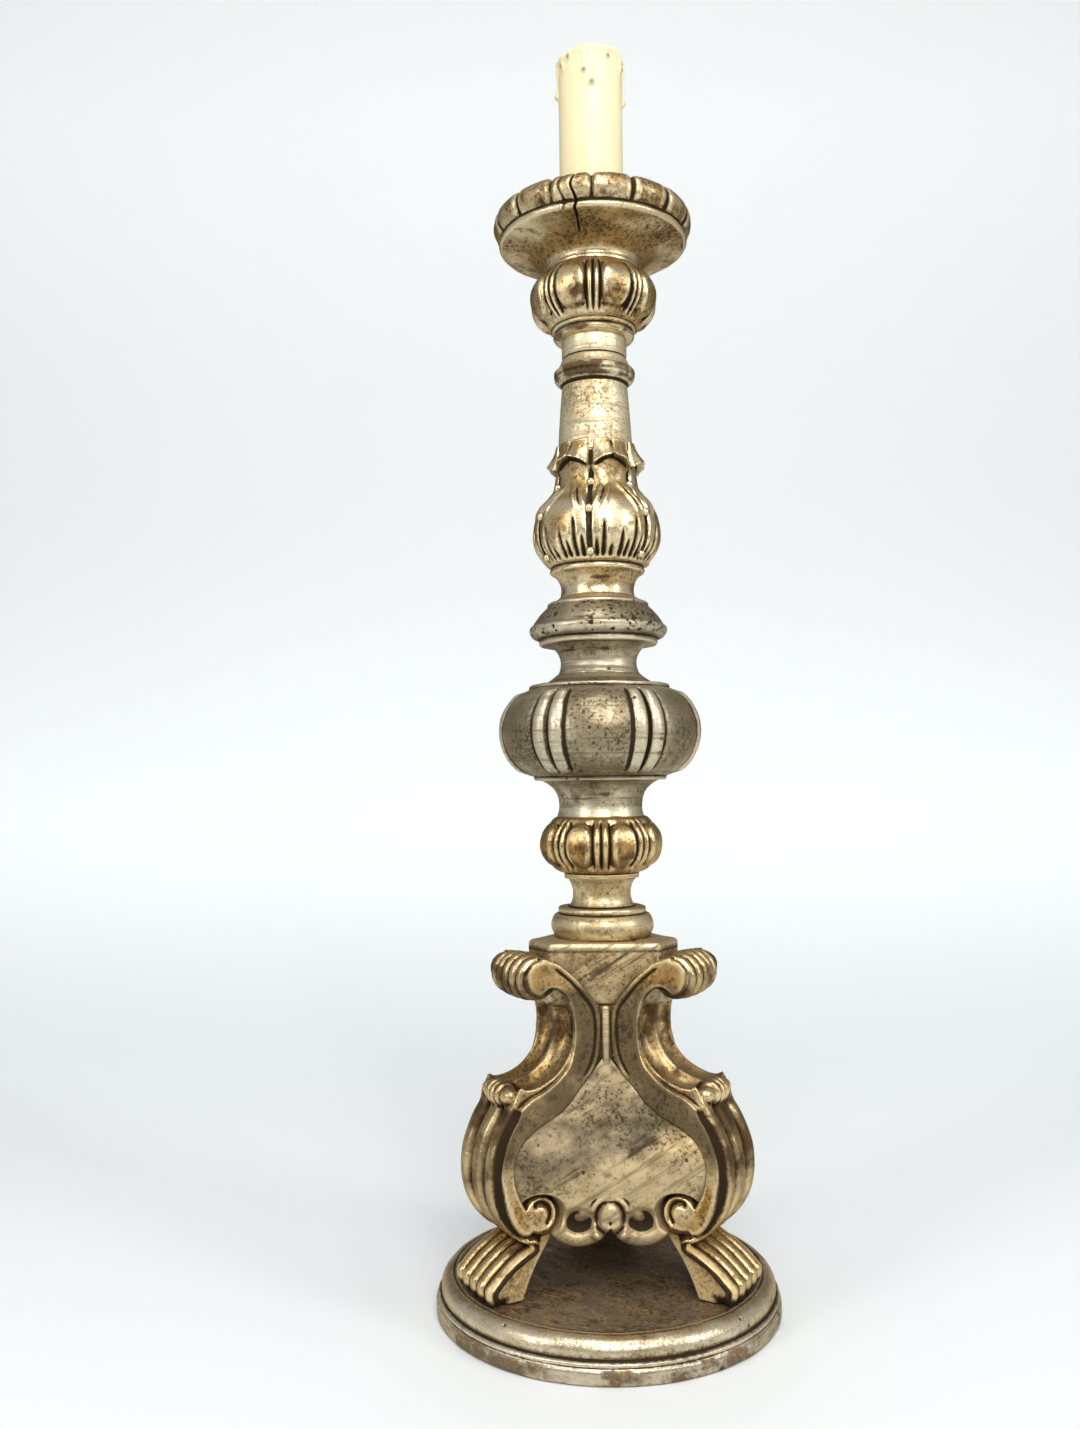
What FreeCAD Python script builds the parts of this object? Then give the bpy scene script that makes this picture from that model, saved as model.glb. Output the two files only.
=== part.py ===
import FreeCAD, Part
import math
import os

from FreeCAD import Vector

# Plinth: turned disc under the whole candlestick
plinth_radius = 70.0
plinth_band_height = 6.0
plinth_edge_round = 0.9
plinth_ridge_inset = 1.0
plinth_ridge_height = 1.9
plinth_step = 2.4
plinth_moulding_width = 7.4
plinth_torus_bow = 1.9
plinth_bead_width = 1.7
plinth_bead_rise = 0.7
plinth_floor = 15.5

# Pedestal: three scroll legs round a three-sided core
back_leg_azimuth = 90.0
leg_count = 3
leg_width = 33.0
core_margin = 4.4
core_clip = 0.6
arch_rise = 24.5
glue_gap = 0.2

# Leg outline in its own plane: distances from the stem's axis, and rises that each start at the last one
foot_length = 16.4
toe_inset = 0.2
foot_toe_height = 5.2
foot_crown_height = 8.8
foot_toe_round = 2.3
foot_arch_radius = 31.0
foot_arch_bow = 1.6
foot_bow = 1.1
ankle_radius = 43.4
ankle_rise = 19.7
bulge_radius = 60.2
bulge_rise = 27.8
bulge_lower_bow = 4.9
bulge_upper_bow = 2.0
notch_radius = 52.3
notch_rise = 22.4
knee_radius = 46.6
knee_rise = 10.8
scroll_centre_radius = 44.0
scroll_rise = 19.8
scroll_end_angle = 122.0
volute_centre_radius = 37.4
volute_rise = 19.4
volute_sink = 0.2
shoulder_bow = 2.6

# Ornament of the legs
volute_end_radius = 6.4
volute_ring_radius = 9.2
volute_ring_count = 5
knee_bead_radius = 5.0
knee_bead_end_radius = 3.6
knee_bead_count = 5
knee_bead_out = 2.2
knee_bead_drop = 4.6
ring_swell = 0.2
channel_radius = 7.0
channel_depth = 4.2
channel_land = 1.3
channel_start_angle = 140.0
channel_end_angle = 262.0
flute_radius = 2.2
flute_depth = 2.2
flute_count = 2
flute_pitch = 11.0
flute_start_angle = -48.0
flute_end_angle = 30.0
toe_groove_radius = 1.5
toe_groove_depth = 1.2
toe_count = 5
toe_lip = 3.6
foot_recess = 3.0
foot_neck_rise = 4.0
curl_centre_radius = 41.2
curl_rise = 13.0
curl_radius = 7.2
curl_proud = 2.9
curl_groove_path = 4.2
curl_groove_radius = 0.9
curl_groove_start = 250.0
curl_groove_sweep = 320.0

# Panels between the legs
panel_top_drop = 22.0
panel_shoulder_radius = 30.5
panel_shoulder_drop = 2.4
panel_shoulder_bow = 1.2
panel_belly_radius = 39.8
panel_belly_lift = 1.0
panel_belly_bow = 2.7
panel_apron_radius = 33.2
panel_apron_bow = 1.2
panel_drop = 6.0
lip_offset = 10.6
lip_rise = 5.2
lip_radius = 7.2
lip_roll_radius = 2.4
lip_face_radius = 34.4
lip_half_angle = 80.0
pit_radius = 5.0
pit_centre_radius = 38.4
bud_radius = 4.6
bud_height = 13.0
bud_drop = 1.0
bud_centre_radius = 35.4
hood_radius = 6.6
hood_roll_radius = 1.0
hood_face_radius = 37.2
hood_half_angle = 75.0

# Cap block
cap_inradius = 22.8
cap_corner = 30.3
cap_rise = 13.6
cap_height = 25.0
cap_taper_height = 8.5
cap_taper_depth = 5.3

# Tube through the stem, and the tenons between the stem's sections
tube_radius = 5.0
tube_bore_radius = 4.0
tube_clearance = 0.5
tenon_radius = 8.4
tenon_length = 8.0
tenon_gap = 0.1
tenon_end_gap = 0.4

# Stem foot
stem_torus_radius = 19.2
stem_torus_bow = 2.0
stem_torus_height = 9.6
stem_ring_radius = 18.0
stem_ring_height = 2.7
stem_neck_radius = 13.6
stem_neck_head_radius = 14.5
stem_neck_bow = 2.0
stem_neck_height = 12.0

# Lower lobed knop
lower_fillet_radius = 15.5
lower_fillet_height = 2.2
lower_knop_radius = 25.9
lower_knop_belly_height = 12.6
lower_knop_height = 23.0
lower_knop_head_radius = 18.4

# Ball knop
ball_cove_foot_radius = 18.2
ball_cove_height = 15.0
ball_cove_head_radius = 24.6
ball_cove_bow = 3.6
ball_fillet_radius = 27.4
ball_fillet_height = 1.8
ball_foot_radius = 28.6
ball_radius = 41.8
ball_belly_height = 18.3
ball_height = 36.0
ball_head_radius = 29.8
ball_top_fillet_radius = 29.2
ball_neck_foot_radius = 24.0
ball_neck_radius = 17.6
ball_neck_height = 4.4

# Collar disc
collar_foot_radius = 17.4
collar_cove_height = 12.4
collar_cove_head_radius = 20.5
collar_cove_bow = 2.9
collar_step_radius = 24.6
collar_step_height = 2.8
collar_under_radius = 26.6
collar_radius = 28.9
collar_edge_height = 3.7
collar_edge_bow = 0.7
collar_brow_radius = 27.6
collar_brow_height = 1.6
collar_slope_height = 8.0
collar_slope_bow = 0.5
collar_fillet_radius = 21.1
collar_fillet_height = 1.5
collar_head_radius = 16.0
collar_head_height = 2.5

# Leaf vase
vase_cove_radius = 15.8
vase_cove_height = 9.8
vase_cove_bow = 1.8
vase_bead_radius = 18.6
vase_bead_bow = 1.3
vase_bead_height = 2.6
vase_foot_radius = 19.6
vase_belly_radius = 26.0
vase_belly_height = 13.6
vase_belly_bow = 2.0
vase_hip_radius = 21.2
vase_hip_height = 13.4
vase_hip_bow = 1.4
vase_waist_radius = 16.2
vase_waist_height = 8.4
vase_waist_bow = 0.9
vase_head_radius = 15.9
vase_head_height = 12.4
leaf_count = 6
leaf_offset = 292.0
leaf_thickness = 1.3
leaf_half_width = 12.6
leaf_waist_half_width = 7.8
leaf_tip_half_width = 7.0
leaf_tip_radius = 18.6
leaf_tip_rise = 8.8
leaf_tip_arch = 8.5
leaf_tip_half_angle = 62.0
leaf_tip_roll = 2.4

# Column with a ring
column_foot_radius = 15.8
column_head_radius = 13.8
column_shaft_height = 30.0
column_ring_foot_radius = 15.2
column_ring_radius = 17.0
column_ring_bow = 0.7
column_ring_rise = 4.8
column_ring_height = 1.6
column_ring_neck_radius = 14.4
column_ring_slope = 4.0
column_neck_height = 9.2

# Upper lobed knop
upper_fillet_radius = 17.4
upper_fillet_height = 4.0
upper_knop_radius = 27.6
upper_knop_belly_height = 15.4
upper_knop_height = 26.4
upper_knop_foot_radius = 18.0
upper_knop_head_radius = 21.6

# Lobes of the knops
lobe_count = 8
lobe_offset = 268.0
lobe_strip_angle = 13.0
ball_panel_count = 6
ball_strip_offset = 297.0
ball_strip_angle = 20.0
groove_radius = 1.3
groove_depth = 1.0

# Drip pan
pan_foot_radius = 21.6
pan_bowl_radius = 36.0
pan_bowl_height = 9.4
pan_bowl_bow = 1.6
pan_bead_radius = 39.0
pan_bead_bow = 1.0
pan_bead_height = 2.8
pan_groove_depth = 0.9
pan_rim_radius = 40.3
pan_rim_bow = 1.3
pan_rim_height = 12.8
pan_lip_radius = 36.6
pan_dish_radius = 32.0
pan_dish_depth = 6.0
pan_lobe_count = 15
pan_lobe_offset = 4.0
pan_lobe_groove_radius = 1.2

# False candle
sleeve_radius = 13.6
sleeve_wall = 1.2
sleeve_length = 74.5
drip_radius = 1.7
drip_sink = 0.8
drip_azimuths = [182.0, 207.0, 256.0, 268.0, 338.0, 2.0, 52.0, 95.0, 146.0]
drip_lengths = [16.0, 6.5, 12.0, 17.5, 8.0, 19.0, 11.0, 20.0, 10.0]

# Tube fixings
washer_radius = 10.4
washer_thickness = 1.5
nut_sides = 6
nut_across_flats = 14.0
nut_thickness = 4.0
thread_clearance = 0.1
tube_overhang = 3.0

# Lampholder: bracket, body, screw shell and contact
bracket_thickness = 1.2
bracket_base_radius = 10.4
bracket_arm_width = 8.0
bracket_arm_height = 36.0
holder_stand_height = 24.0
holder_neck_radius = 9.0
holder_neck_height = 13.0
holder_radius = 11.4
holder_cup_height = 17.5
shell_bore_radius = 7.0
shell_wall = 0.5
shell_gap = 0.05
shell_length = 16.0
contact_radius = 2.4
contact_height = 2.2
contact_stem_radius = 1.1
contact_stem_length = 5.0
contact_travel = 1.0
contact_fit = 0.05
contact_well_radius = 5.0
contact_well_depth = 3.6
screw_radius = 1.5
screw_head_radius = 2.4
screw_head_height = 1.2
screw_length = 4.0
screw_gap = 0.1
terminal_offset = 5.6

# Foot dowels
dowel_radius = 3.0
dowel_depth = 8.0
dowel_gap = 0.1
dowel_inset = 9.4

# Small turned edges: the bow of a nearly flat one, and the bow of a rounded corner as a share of its radius
soft_bow = 0.2
corner_bow_share = 0.25

axis_up = Vector(0, 0, 1)
axis_out = Vector(1, 0, 0)
axis_across = Vector(0, 1, 0)
full_turn = 360.0
half_turn = full_turn / 2
quarter_turn = full_turn / 4
leg_turn = full_turn / leg_count
leg_azimuths = {
    "leg_left": back_leg_azimuth + leg_turn,
    "leg_right": back_leg_azimuth + 2 * leg_turn,
    "leg_back": back_leg_azimuth,
}
panel_azimuths = {
    "panel_front": back_leg_azimuth + half_turn,
    "panel_right": back_leg_azimuth - leg_turn / 2,
    "panel_left": back_leg_azimuth + leg_turn / 2,
}
wedge_angle = math.radians(leg_turn / 2)
bore_radius = tube_radius + tube_clearance

# Sizes that follow from those above
plinth_torus_inner_radius = plinth_radius - plinth_moulding_width
foot_toe_radius = plinth_torus_inner_radius - toe_inset
foot_heel_radius = foot_toe_radius - foot_length
dowel_centre_radius = foot_toe_radius - dowel_inset
core_inradius = (leg_width + core_margin) / (2 * math.tan(wedge_angle))
core_corner_radius = 2 * core_inradius - core_clip
core_bottom = plinth_floor + arch_rise
ankle_height = plinth_floor + ankle_rise
bulge_height = ankle_height + bulge_rise
notch_height = bulge_height + notch_rise
knee_height = notch_height + knee_rise
scroll_centre_height = knee_height + scroll_rise
volute_centre_height = scroll_centre_height + volute_rise
curl_centre_height = ankle_height + curl_rise
cap_top = volute_centre_height + cap_rise
core_top = cap_top - cap_height
panel_bottom = core_bottom - panel_drop
panel_belly_height = bulge_height + panel_belly_lift
panel_shoulder_height = notch_height - panel_shoulder_drop
panel_top = core_top - panel_top_drop
lip_height = core_bottom + lip_rise
bud_bottom = core_bottom - bud_drop


def on_section(place):
    return Vector(place[0], 0, place[1])


def arc_middle(first, last, bow):
    # A point off the chord's middle: a positive bow lies to the right of the way from first to last
    run = last[0] - first[0]
    rise = last[1] - first[1]
    chord = math.hypot(run, rise)
    middle_radius = (first[0] + last[0]) / 2 + bow * rise / chord
    middle_height = (first[1] + last[1]) / 2 - bow * run / chord
    return (middle_radius, middle_height)


def outline(places):
    # Closed wire through (radius, height) corners. A third value is the bow of the arc that ends there,
    # and four values are the arc's end and the point that it passes through
    edges = []
    for index, place in enumerate(places):
        first = places[index - 1][:2]
        last = place[:2]
        if len(place) == 2:
            edges.append(Part.makeLine(on_section(first), on_section(last)))
        else:
            middle = place[2:] if len(place) == 4 else arc_middle(first, last, place[2])
            edges.append(Part.Arc(on_section(first), on_section(middle), on_section(last)).toShape())
    return Part.Wire(edges)


def turned(places):
    return Part.Face(outline(places)).revolve(Vector(), axis_up, full_turn)


def cylinder(radius, bottom, top):
    return Part.makeCylinder(radius, top - bottom, Vector(0, 0, bottom))


def tube(outer, inner, bottom, top):
    return cylinder(outer, bottom, top).cut(cylinder(inner, bottom, top))


def at_azimuth(shape, azimuth):
    placed = shape.copy()
    placed.rotate(Vector(), axis_up, azimuth)
    return placed


def ring_arc(centre, radius, start, end, section_radius, across):
    # Round bar bent along a circle that lies in an upright plane through X, between two angles
    begin = math.radians(start)
    middle = Vector(centre[0], across, centre[1])
    place = middle + Vector(radius * math.cos(begin), 0, radius * math.sin(begin))
    along = Vector(-math.sin(begin), 0, math.cos(begin))
    section = Part.Face(Part.Wire(Part.makeCircle(section_radius, place, along)))
    return section.revolve(middle, -axis_across, end - start)


def circle_through(first, middle, last):
    circle = Part.Arc(on_section(first), on_section(middle), on_section(last)).toShape().Curve
    return (circle.Center.x, circle.Center.z), circle.Radius


def angle_from(centre, place):
    return math.degrees(math.atan2(place[1] - centre[1], place[0] - centre[0]))


def grooved(body, foot, belly, head, azimuths):
    # Grooves let into a round knop along the arc from its foot over its belly to its head
    centre, radius = circle_through(foot, belly, head)
    path = radius + groove_radius - groove_depth
    groove = ring_arc(centre, path, angle_from(centre, foot), angle_from(centre, head), groove_radius, 0)
    return body.cut([at_azimuth(groove, azimuth) for azimuth in azimuths])


def strip_azimuths(count, offset, width):
    # Both sides and the middle of each narrow strip between the lobes
    azimuths = []
    for index in range(count):
        middle = offset + full_turn * index / count
        azimuths += [middle - width / 2, middle, middle + width / 2]
    return azimuths


def stem_section(places):
    # Turned section: a tenon below its foot, a socket in its head and the tube's bore
    foot = places[0][1]
    head = places[-1][1]
    body = turned([(0, head), (0, foot)] + places)
    body = body.fuse(cylinder(tenon_radius, foot - tenon_length, foot)).removeSplitter()
    return body.cut([tenon_socket(head), cylinder(bore_radius, foot - tenon_length, head)])


def tenon_socket(head):
    return cylinder(tenon_radius + tenon_gap, head - tenon_length - tenon_end_gap, head)


def dowel(radius, end_gap):
    bottom = plinth_floor - dowel_depth - end_gap
    return Part.makeCylinder(radius, 2 * (dowel_depth + end_gap), Vector(dowel_centre_radius, 0, bottom))


def dowel_holes():
    hole = dowel(dowel_radius + dowel_gap, dowel_gap)
    return [at_azimuth(hole, azimuth) for azimuth in leg_azimuths.values()]


def foot_dowels():
    pin = dowel(dowel_radius, 0)
    return Part.makeCompound([at_azimuth(pin, azimuth) for azimuth in leg_azimuths.values()])


def plinth():
    torus_foot = plinth_radius - plinth_step
    ridge = plinth_radius - plinth_ridge_inset
    ridge_top = plinth_band_height + plinth_ridge_height
    bead_middle = plinth_torus_inner_radius - plinth_bead_width / 2
    bead_inner = plinth_torus_inner_radius - plinth_bead_width
    soft = plinth_edge_round * corner_bow_share
    body = turned([
        (0, plinth_floor),
        (0, 0),
        (plinth_radius - plinth_edge_round, 0),
        (plinth_radius, plinth_edge_round, soft),
        (plinth_radius, plinth_band_height - plinth_edge_round),
        (ridge - plinth_edge_round, plinth_band_height, soft),
        (ridge - plinth_edge_round, ridge_top, plinth_edge_round),
        (torus_foot, ridge_top + plinth_edge_round),
        (plinth_torus_inner_radius, plinth_floor, plinth_torus_bow),
        (plinth_torus_inner_radius, plinth_floor - plinth_bead_rise),
        (bead_inner, plinth_floor, bead_middle, plinth_floor + plinth_bead_rise),
    ])
    return body.cut(dowel_holes())


def scroll_head():
    # Upper end of the C-scroll, under the volute
    angle = math.radians(scroll_end_angle)
    radius = scroll_radius()
    return (scroll_centre_radius + radius * math.cos(angle), scroll_centre_height + radius * math.sin(angle))


def scroll_radius():
    return math.hypot(knee_radius - scroll_centre_radius, knee_height - scroll_centre_height)


def leg_plate():
    # The leg's side view as a board
    toe = plinth_floor + foot_toe_height
    crown = plinth_floor + foot_crown_height
    toe_foot = foot_toe_radius - foot_toe_round
    inner = core_inradius + glue_gap
    throat = (scroll_centre_radius - scroll_radius(), scroll_centre_height)
    side = outline([
        (inner, core_bottom),
        (foot_arch_radius, core_bottom),
        (foot_heel_radius, plinth_floor, -foot_arch_bow),
        (toe_foot, plinth_floor),
        (foot_toe_radius, toe, foot_toe_round * corner_bow_share),
        (toe_foot, crown, foot_toe_round * corner_bow_share),
        (ankle_radius, ankle_height, foot_bow),
        (bulge_radius, bulge_height, bulge_lower_bow),
        (notch_radius, notch_height, bulge_upper_bow),
        (knee_radius, knee_height),
        scroll_head() + throat,
        (volute_centre_radius, volute_centre_height),
        (volute_centre_radius, volute_centre_height + volute_ring_radius - volute_sink),
        (inner, core_top, shoulder_bow),
    ])
    board = Part.Face(side).extrude(axis_across * leg_width)
    board.translate(-axis_across * leg_width / 2)
    return board


def ringed_barrel(centre, end_radius, middle_radius, rings, length):
    # Bar of turned rings that lies across the leg, fattest in the middle
    pitch = length / rings
    swell = pitch * ring_swell
    places = [(0, length / 2), (0, -length / 2), (end_radius, -length / 2)]
    for index in range(1, rings + 1):
        height = pitch * index - length / 2
        fatness = max(math.cos(math.pi * height / length), 0)
        places.append((end_radius + (middle_radius - swell - end_radius) * fatness, height, swell))
    bar = turned(places)
    bar.rotate(Vector(), axis_out, quarter_turn)
    bar.translate(on_section(centre))
    return bar


def channel_cuts():
    # Two hollow channels side by side along the C-scroll, round at the knee
    centre = (scroll_centre_radius, scroll_centre_height)
    path = scroll_radius() + channel_depth - channel_radius
    end = math.radians(channel_end_angle)
    cuts = []
    for side in (-1, 1):
        across = side * (channel_radius + channel_land / 2)
        cuts.append(ring_arc(centre, path, channel_start_angle, channel_end_angle, channel_radius, across))
        tip = Vector(centre[0] + path * math.cos(end), across, centre[1] + path * math.sin(end))
        cuts.append(Part.makeSphere(channel_radius, tip))
    return cuts


def flute_cuts():
    # Flutes down the front of the bulge
    ankle = (ankle_radius, ankle_height)
    belly = (bulge_radius, bulge_height)
    centre, radius = circle_through(ankle, arc_middle(ankle, belly, bulge_lower_bow), belly)
    path = radius + flute_radius - flute_depth
    cuts = []
    for index in range(flute_count):
        across = (index - (flute_count - 1) / 2) * flute_pitch
        cuts.append(ring_arc(centre, path, flute_start_angle, flute_end_angle, flute_radius, across))
    return cuts


def toe_cuts():
    # Grooves between the toes of the foot
    ankle = (ankle_radius, ankle_height)
    toe = (foot_toe_radius - foot_toe_round, plinth_floor + foot_crown_height)
    centre, radius = circle_through(toe, arc_middle(toe, ankle, foot_bow), ankle)
    path = radius + toe_groove_radius - toe_groove_depth
    start = angle_from(centre, toe)
    end = angle_from(centre, ankle)
    cuts = []
    for index in range(1, toe_count):
        across = leg_width * index / toe_count - leg_width / 2
        cuts.append(ring_arc(centre, path, start, end, toe_groove_radius, across))
    return cuts


def foot_recesses():
    # The foot's flat sides lie back behind a lip that the outer toes form
    toe_back = foot_toe_radius - foot_toe_round - toe_lip
    under = plinth_floor - glue_gap
    neck = ankle_height + foot_neck_rise
    side = Part.Face(outline([
        (foot_arch_radius - toe_lip, neck),
        (foot_heel_radius - 2 * toe_lip, under),
        (toe_back, under),
        (toe_back + foot_toe_round / 2, plinth_floor + foot_toe_height),
        (ankle_radius - toe_lip / 2, ankle_height - toe_lip, foot_bow),
        (ankle_radius - toe_lip, neck),
    ]))
    near = side.extrude(axis_across * foot_recess)
    far = near.copy()
    near.translate(-axis_across * leg_width / 2)
    far.translate(axis_across * (leg_width / 2 - foot_recess))
    return [near, far]


def curl_bar(radius, half_length):
    place = Vector(curl_centre_radius, -half_length, curl_centre_height)
    return Part.makeCylinder(radius, 2 * half_length, place, axis_across)


def curl_grooves():
    # The scroll line on the face of each curl
    centre = (curl_centre_radius, curl_centre_height)
    end = curl_groove_start + curl_groove_sweep
    cuts = []
    for side in (-1, 1):
        face = side * (leg_width / 2 + curl_proud)
        cuts.append(ring_arc(centre, curl_groove_path, curl_groove_start, end, curl_groove_radius, face))
    return cuts


def leg():
    volute = ringed_barrel((volute_centre_radius, volute_centre_height), volute_end_radius,
                           volute_ring_radius, volute_ring_count, leg_width)
    knee = ringed_barrel((knee_radius + knee_bead_out, knee_height - knee_bead_drop),
                         knee_bead_end_radius, knee_bead_radius, knee_bead_count, leg_width)
    curl = curl_bar(curl_radius, leg_width / 2 + curl_proud)
    body = leg_plate().cut(channel_cuts() + flute_cuts() + toe_cuts() + foot_recesses())
    body = body.fuse([volute, knee, curl]).removeSplitter()
    return body.cut(curl_grooves() + [dowel(dowel_radius + dowel_gap, dowel_gap)])


def three_sided(inradius, corner, first_azimuth, bottom, top):
    # Upright triangular prism with clipped corners
    side = 2 * (inradius + corner)
    prism = Part.makeBox(2 * side, 2 * side, top - bottom, Vector(-side, -side, bottom))
    cuts = []
    for index in range(leg_count):
        azimuth = first_azimuth + leg_turn * index
        for turn, distance in ((0, inradius), (half_turn, corner)):
            block = Part.makeBox(2 * side, 2 * side, top - bottom, Vector(distance, -side, bottom))
            cuts.append(at_azimuth(block, azimuth + turn))
    return prism.cut(cuts)


def core_post():
    post = three_sided(core_inradius, core_corner_radius, leg_azimuths["leg_back"], core_bottom, core_top)
    return post.cut(cylinder(bore_radius, core_bottom, core_top))


def leg_housing():
    # Room that the cap block leaves for a leg, under its shoulder line, and for its volute
    inner = core_inradius + glue_gap
    outer = cap_corner + volute_ring_radius
    shoulder = volute_centre_height + volute_ring_radius - volute_sink + glue_gap
    half = leg_width / 2 + glue_gap
    room = Part.Face(outline([
        (inner, core_bottom),
        (outer, core_bottom),
        (outer, shoulder),
        (volute_centre_radius, shoulder),
        (inner, core_top + glue_gap, shoulder_bow),
    ])).extrude(axis_across * 2 * half)
    room.translate(-axis_across * half)
    return room


def cap_taper():
    # Slope that runs a face of the cap block back towards the waist
    reach = 2 * cap_corner
    slope = Part.Face(outline([
        (cap_inradius, core_top + cap_taper_height),
        (cap_inradius - cap_taper_depth, core_top),
        (reach, core_top),
        (reach, core_top + cap_taper_height),
    ])).extrude(axis_across * 2 * reach)
    slope.translate(-axis_across * reach)
    return slope


def cap_block():
    block = three_sided(cap_inradius, cap_corner, panel_azimuths["panel_front"], core_top, cap_top)
    room = leg_housing()
    block = block.cut([at_azimuth(room, azimuth) for azimuth in leg_azimuths.values()])
    slope = cap_taper()
    block = block.cut([at_azimuth(slope, azimuth) for azimuth in panel_azimuths.values()])
    return block.cut([tenon_socket(cap_top), cylinder(bore_radius, core_top, cap_top)])


def panel():
    # Bowed board that faces +X, wedged between the side faces of two legs
    back = core_corner_radius + glue_gap
    reach = 2 * panel_belly_radius
    bow = Part.Face(outline([
        (back, panel_bottom),
        (panel_apron_radius, panel_bottom),
        (panel_belly_radius, panel_belly_height, panel_apron_bow),
        (panel_shoulder_radius, panel_shoulder_height, panel_belly_bow),
        (back, panel_top, -panel_shoulder_bow),
    ])).extrude(axis_across * 2 * reach)
    bow.translate(-axis_across * reach)
    apex = (leg_width / 2 + glue_gap) / math.sin(wedge_angle)
    spread = (reach - apex) * math.tan(wedge_angle)
    corners = [Vector(apex, 0, 0), Vector(reach, spread, 0), Vector(reach, -spread, 0), Vector(apex, 0, 0)]
    wedge = Part.Face(Part.makePolygon(corners)).extrude(axis_up * panel_top)
    room = curl_bar(curl_radius + glue_gap, leg_width)
    rooms = [at_azimuth(room, -leg_turn / 2), at_azimuth(room, leg_turn / 2)]
    board = bow.common(wedge).cut([apron_gap()] + apron_pits() + rooms)
    return board.fuse([apron_bud(), bud_hood()] + apron_lips()).removeSplitter()


def apron_gap():
    # What is cut away under the apron, so that two round tongues hang below it
    reach = 2 * panel_belly_radius
    gap = Part.makeBox(reach, 2 * reach, lip_height - panel_bottom, Vector(0, -reach, panel_bottom))
    tongues = []
    for side in (-1, 1):
        place = Vector(0, side * lip_offset, lip_height)
        tongues.append(Part.makeCylinder(lip_radius + lip_roll_radius / 2, reach, place, axis_out))
    return gap.cut(tongues)


def apron_pits():
    # A scooped hollow in each tongue
    pits = []
    for side in (-1, 1):
        pits.append(Part.makeSphere(pit_radius, Vector(pit_centre_radius, side * lip_offset, lip_height)))
    return pits


def apron_bud():
    # Teardrop that stands in the middle of the apron
    top = bud_bottom + bud_height
    shoulder = top - bud_radius
    diagonal = bud_radius * math.sqrt(0.5)
    bud = turned([
        (0, bud_bottom),
        (bud_radius, shoulder, -bud_radius * corner_bow_share),
        (0, top, diagonal, shoulder + diagonal),
    ])
    bud.translate(axis_out * bud_centre_radius)
    return bud


def bent_bar(radius, middle_angle, half_angle, section_radius):
    # Round bar bent along a circle that faces +X
    roll = ring_arc((0, 0), radius, middle_angle - half_angle, middle_angle + half_angle, section_radius, 0)
    roll.rotate(Vector(), axis_up, quarter_turn)
    return roll


def bud_hood():
    # Carved arch over the bud
    hood = bent_bar(hood_radius, quarter_turn, hood_half_angle, hood_roll_radius)
    hood.translate(Vector(hood_face_radius, 0, bud_bottom + bud_height - bud_radius))
    return hood


def apron_lips():
    # Crescent along the lower edge of each tongue
    lips = []
    for side in (-1, 1):
        lip = bent_bar(lip_radius, -quarter_turn, lip_half_angle, lip_roll_radius)
        lip.translate(Vector(lip_face_radius, side * lip_offset, lip_height))
        lips.append(lip)
    return lips


def stacked(base, steps):
    # Section points from radii and heights that each start where the last one ended
    places = []
    height = base
    for step in steps:
        height += step[1]
        places.append((step[0], height) + tuple(step[2:]))
    return places


def stem_foot(base):
    return stacked(base, [
        (stem_torus_radius, 0),
        (stem_torus_radius, stem_torus_height, stem_torus_bow),
        (stem_ring_radius, 0),
        (stem_ring_radius, stem_ring_height, soft_bow),
        (stem_neck_radius, 0),
        (stem_neck_head_radius, stem_neck_height, -stem_neck_bow),
    ])


def lower_knop(base):
    foot = base + lower_fillet_height
    return [
        (lower_fillet_radius, base),
        (lower_fillet_radius, foot),
        (lower_knop_head_radius, foot + lower_knop_height, lower_knop_radius, foot + lower_knop_belly_height),
    ]


def upper_knop(base):
    foot = base + upper_fillet_height
    return [
        (column_head_radius, base),
        (upper_fillet_radius, foot, -soft_bow),
        (upper_knop_foot_radius, foot),
        (upper_knop_head_radius, foot + upper_knop_height, upper_knop_radius, foot + upper_knop_belly_height),
    ]


def ball_knop(base):
    foot = base + ball_cove_height + ball_fillet_height
    head = foot + ball_height
    return [
        (ball_cove_foot_radius, base),
        (ball_cove_head_radius, base + ball_cove_height, -ball_cove_bow),
        (ball_fillet_radius, base + ball_cove_height),
        (ball_fillet_radius, foot),
        (ball_foot_radius, foot),
        (ball_head_radius, head, ball_radius, foot + ball_belly_height),
        (ball_top_fillet_radius, head),
        (ball_top_fillet_radius, head + ball_fillet_height),
        (ball_neck_foot_radius, head + ball_fillet_height),
        (ball_neck_radius, head + ball_fillet_height + ball_neck_height, -soft_bow),
    ]


def collar_disc(base):
    return stacked(base, [
        (collar_foot_radius, 0),
        (collar_cove_head_radius, collar_cove_height, -collar_cove_bow),
        (collar_step_radius, 0),
        (collar_step_radius, collar_step_height, soft_bow),
        (collar_under_radius, 0),
        (collar_radius, collar_edge_height, collar_edge_bow),
        (collar_brow_radius, collar_brow_height, soft_bow),
        (collar_fillet_radius, collar_slope_height, collar_slope_bow),
        (collar_fillet_radius, collar_fillet_height),
        (collar_head_radius, collar_head_height, -soft_bow),
    ])


def vase_steps(extra):
    # The carved part of the vase, from the bead to the head; extra lifts it to the leaves' outer side
    return [
        (vase_foot_radius + extra, 0),
        (vase_belly_radius + extra, vase_belly_height, vase_belly_bow),
        (vase_hip_radius + extra, vase_hip_height, vase_hip_bow),
        (vase_waist_radius + extra, vase_waist_height, -vase_waist_bow),
        (vase_head_radius + extra, vase_head_height),
    ]


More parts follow.
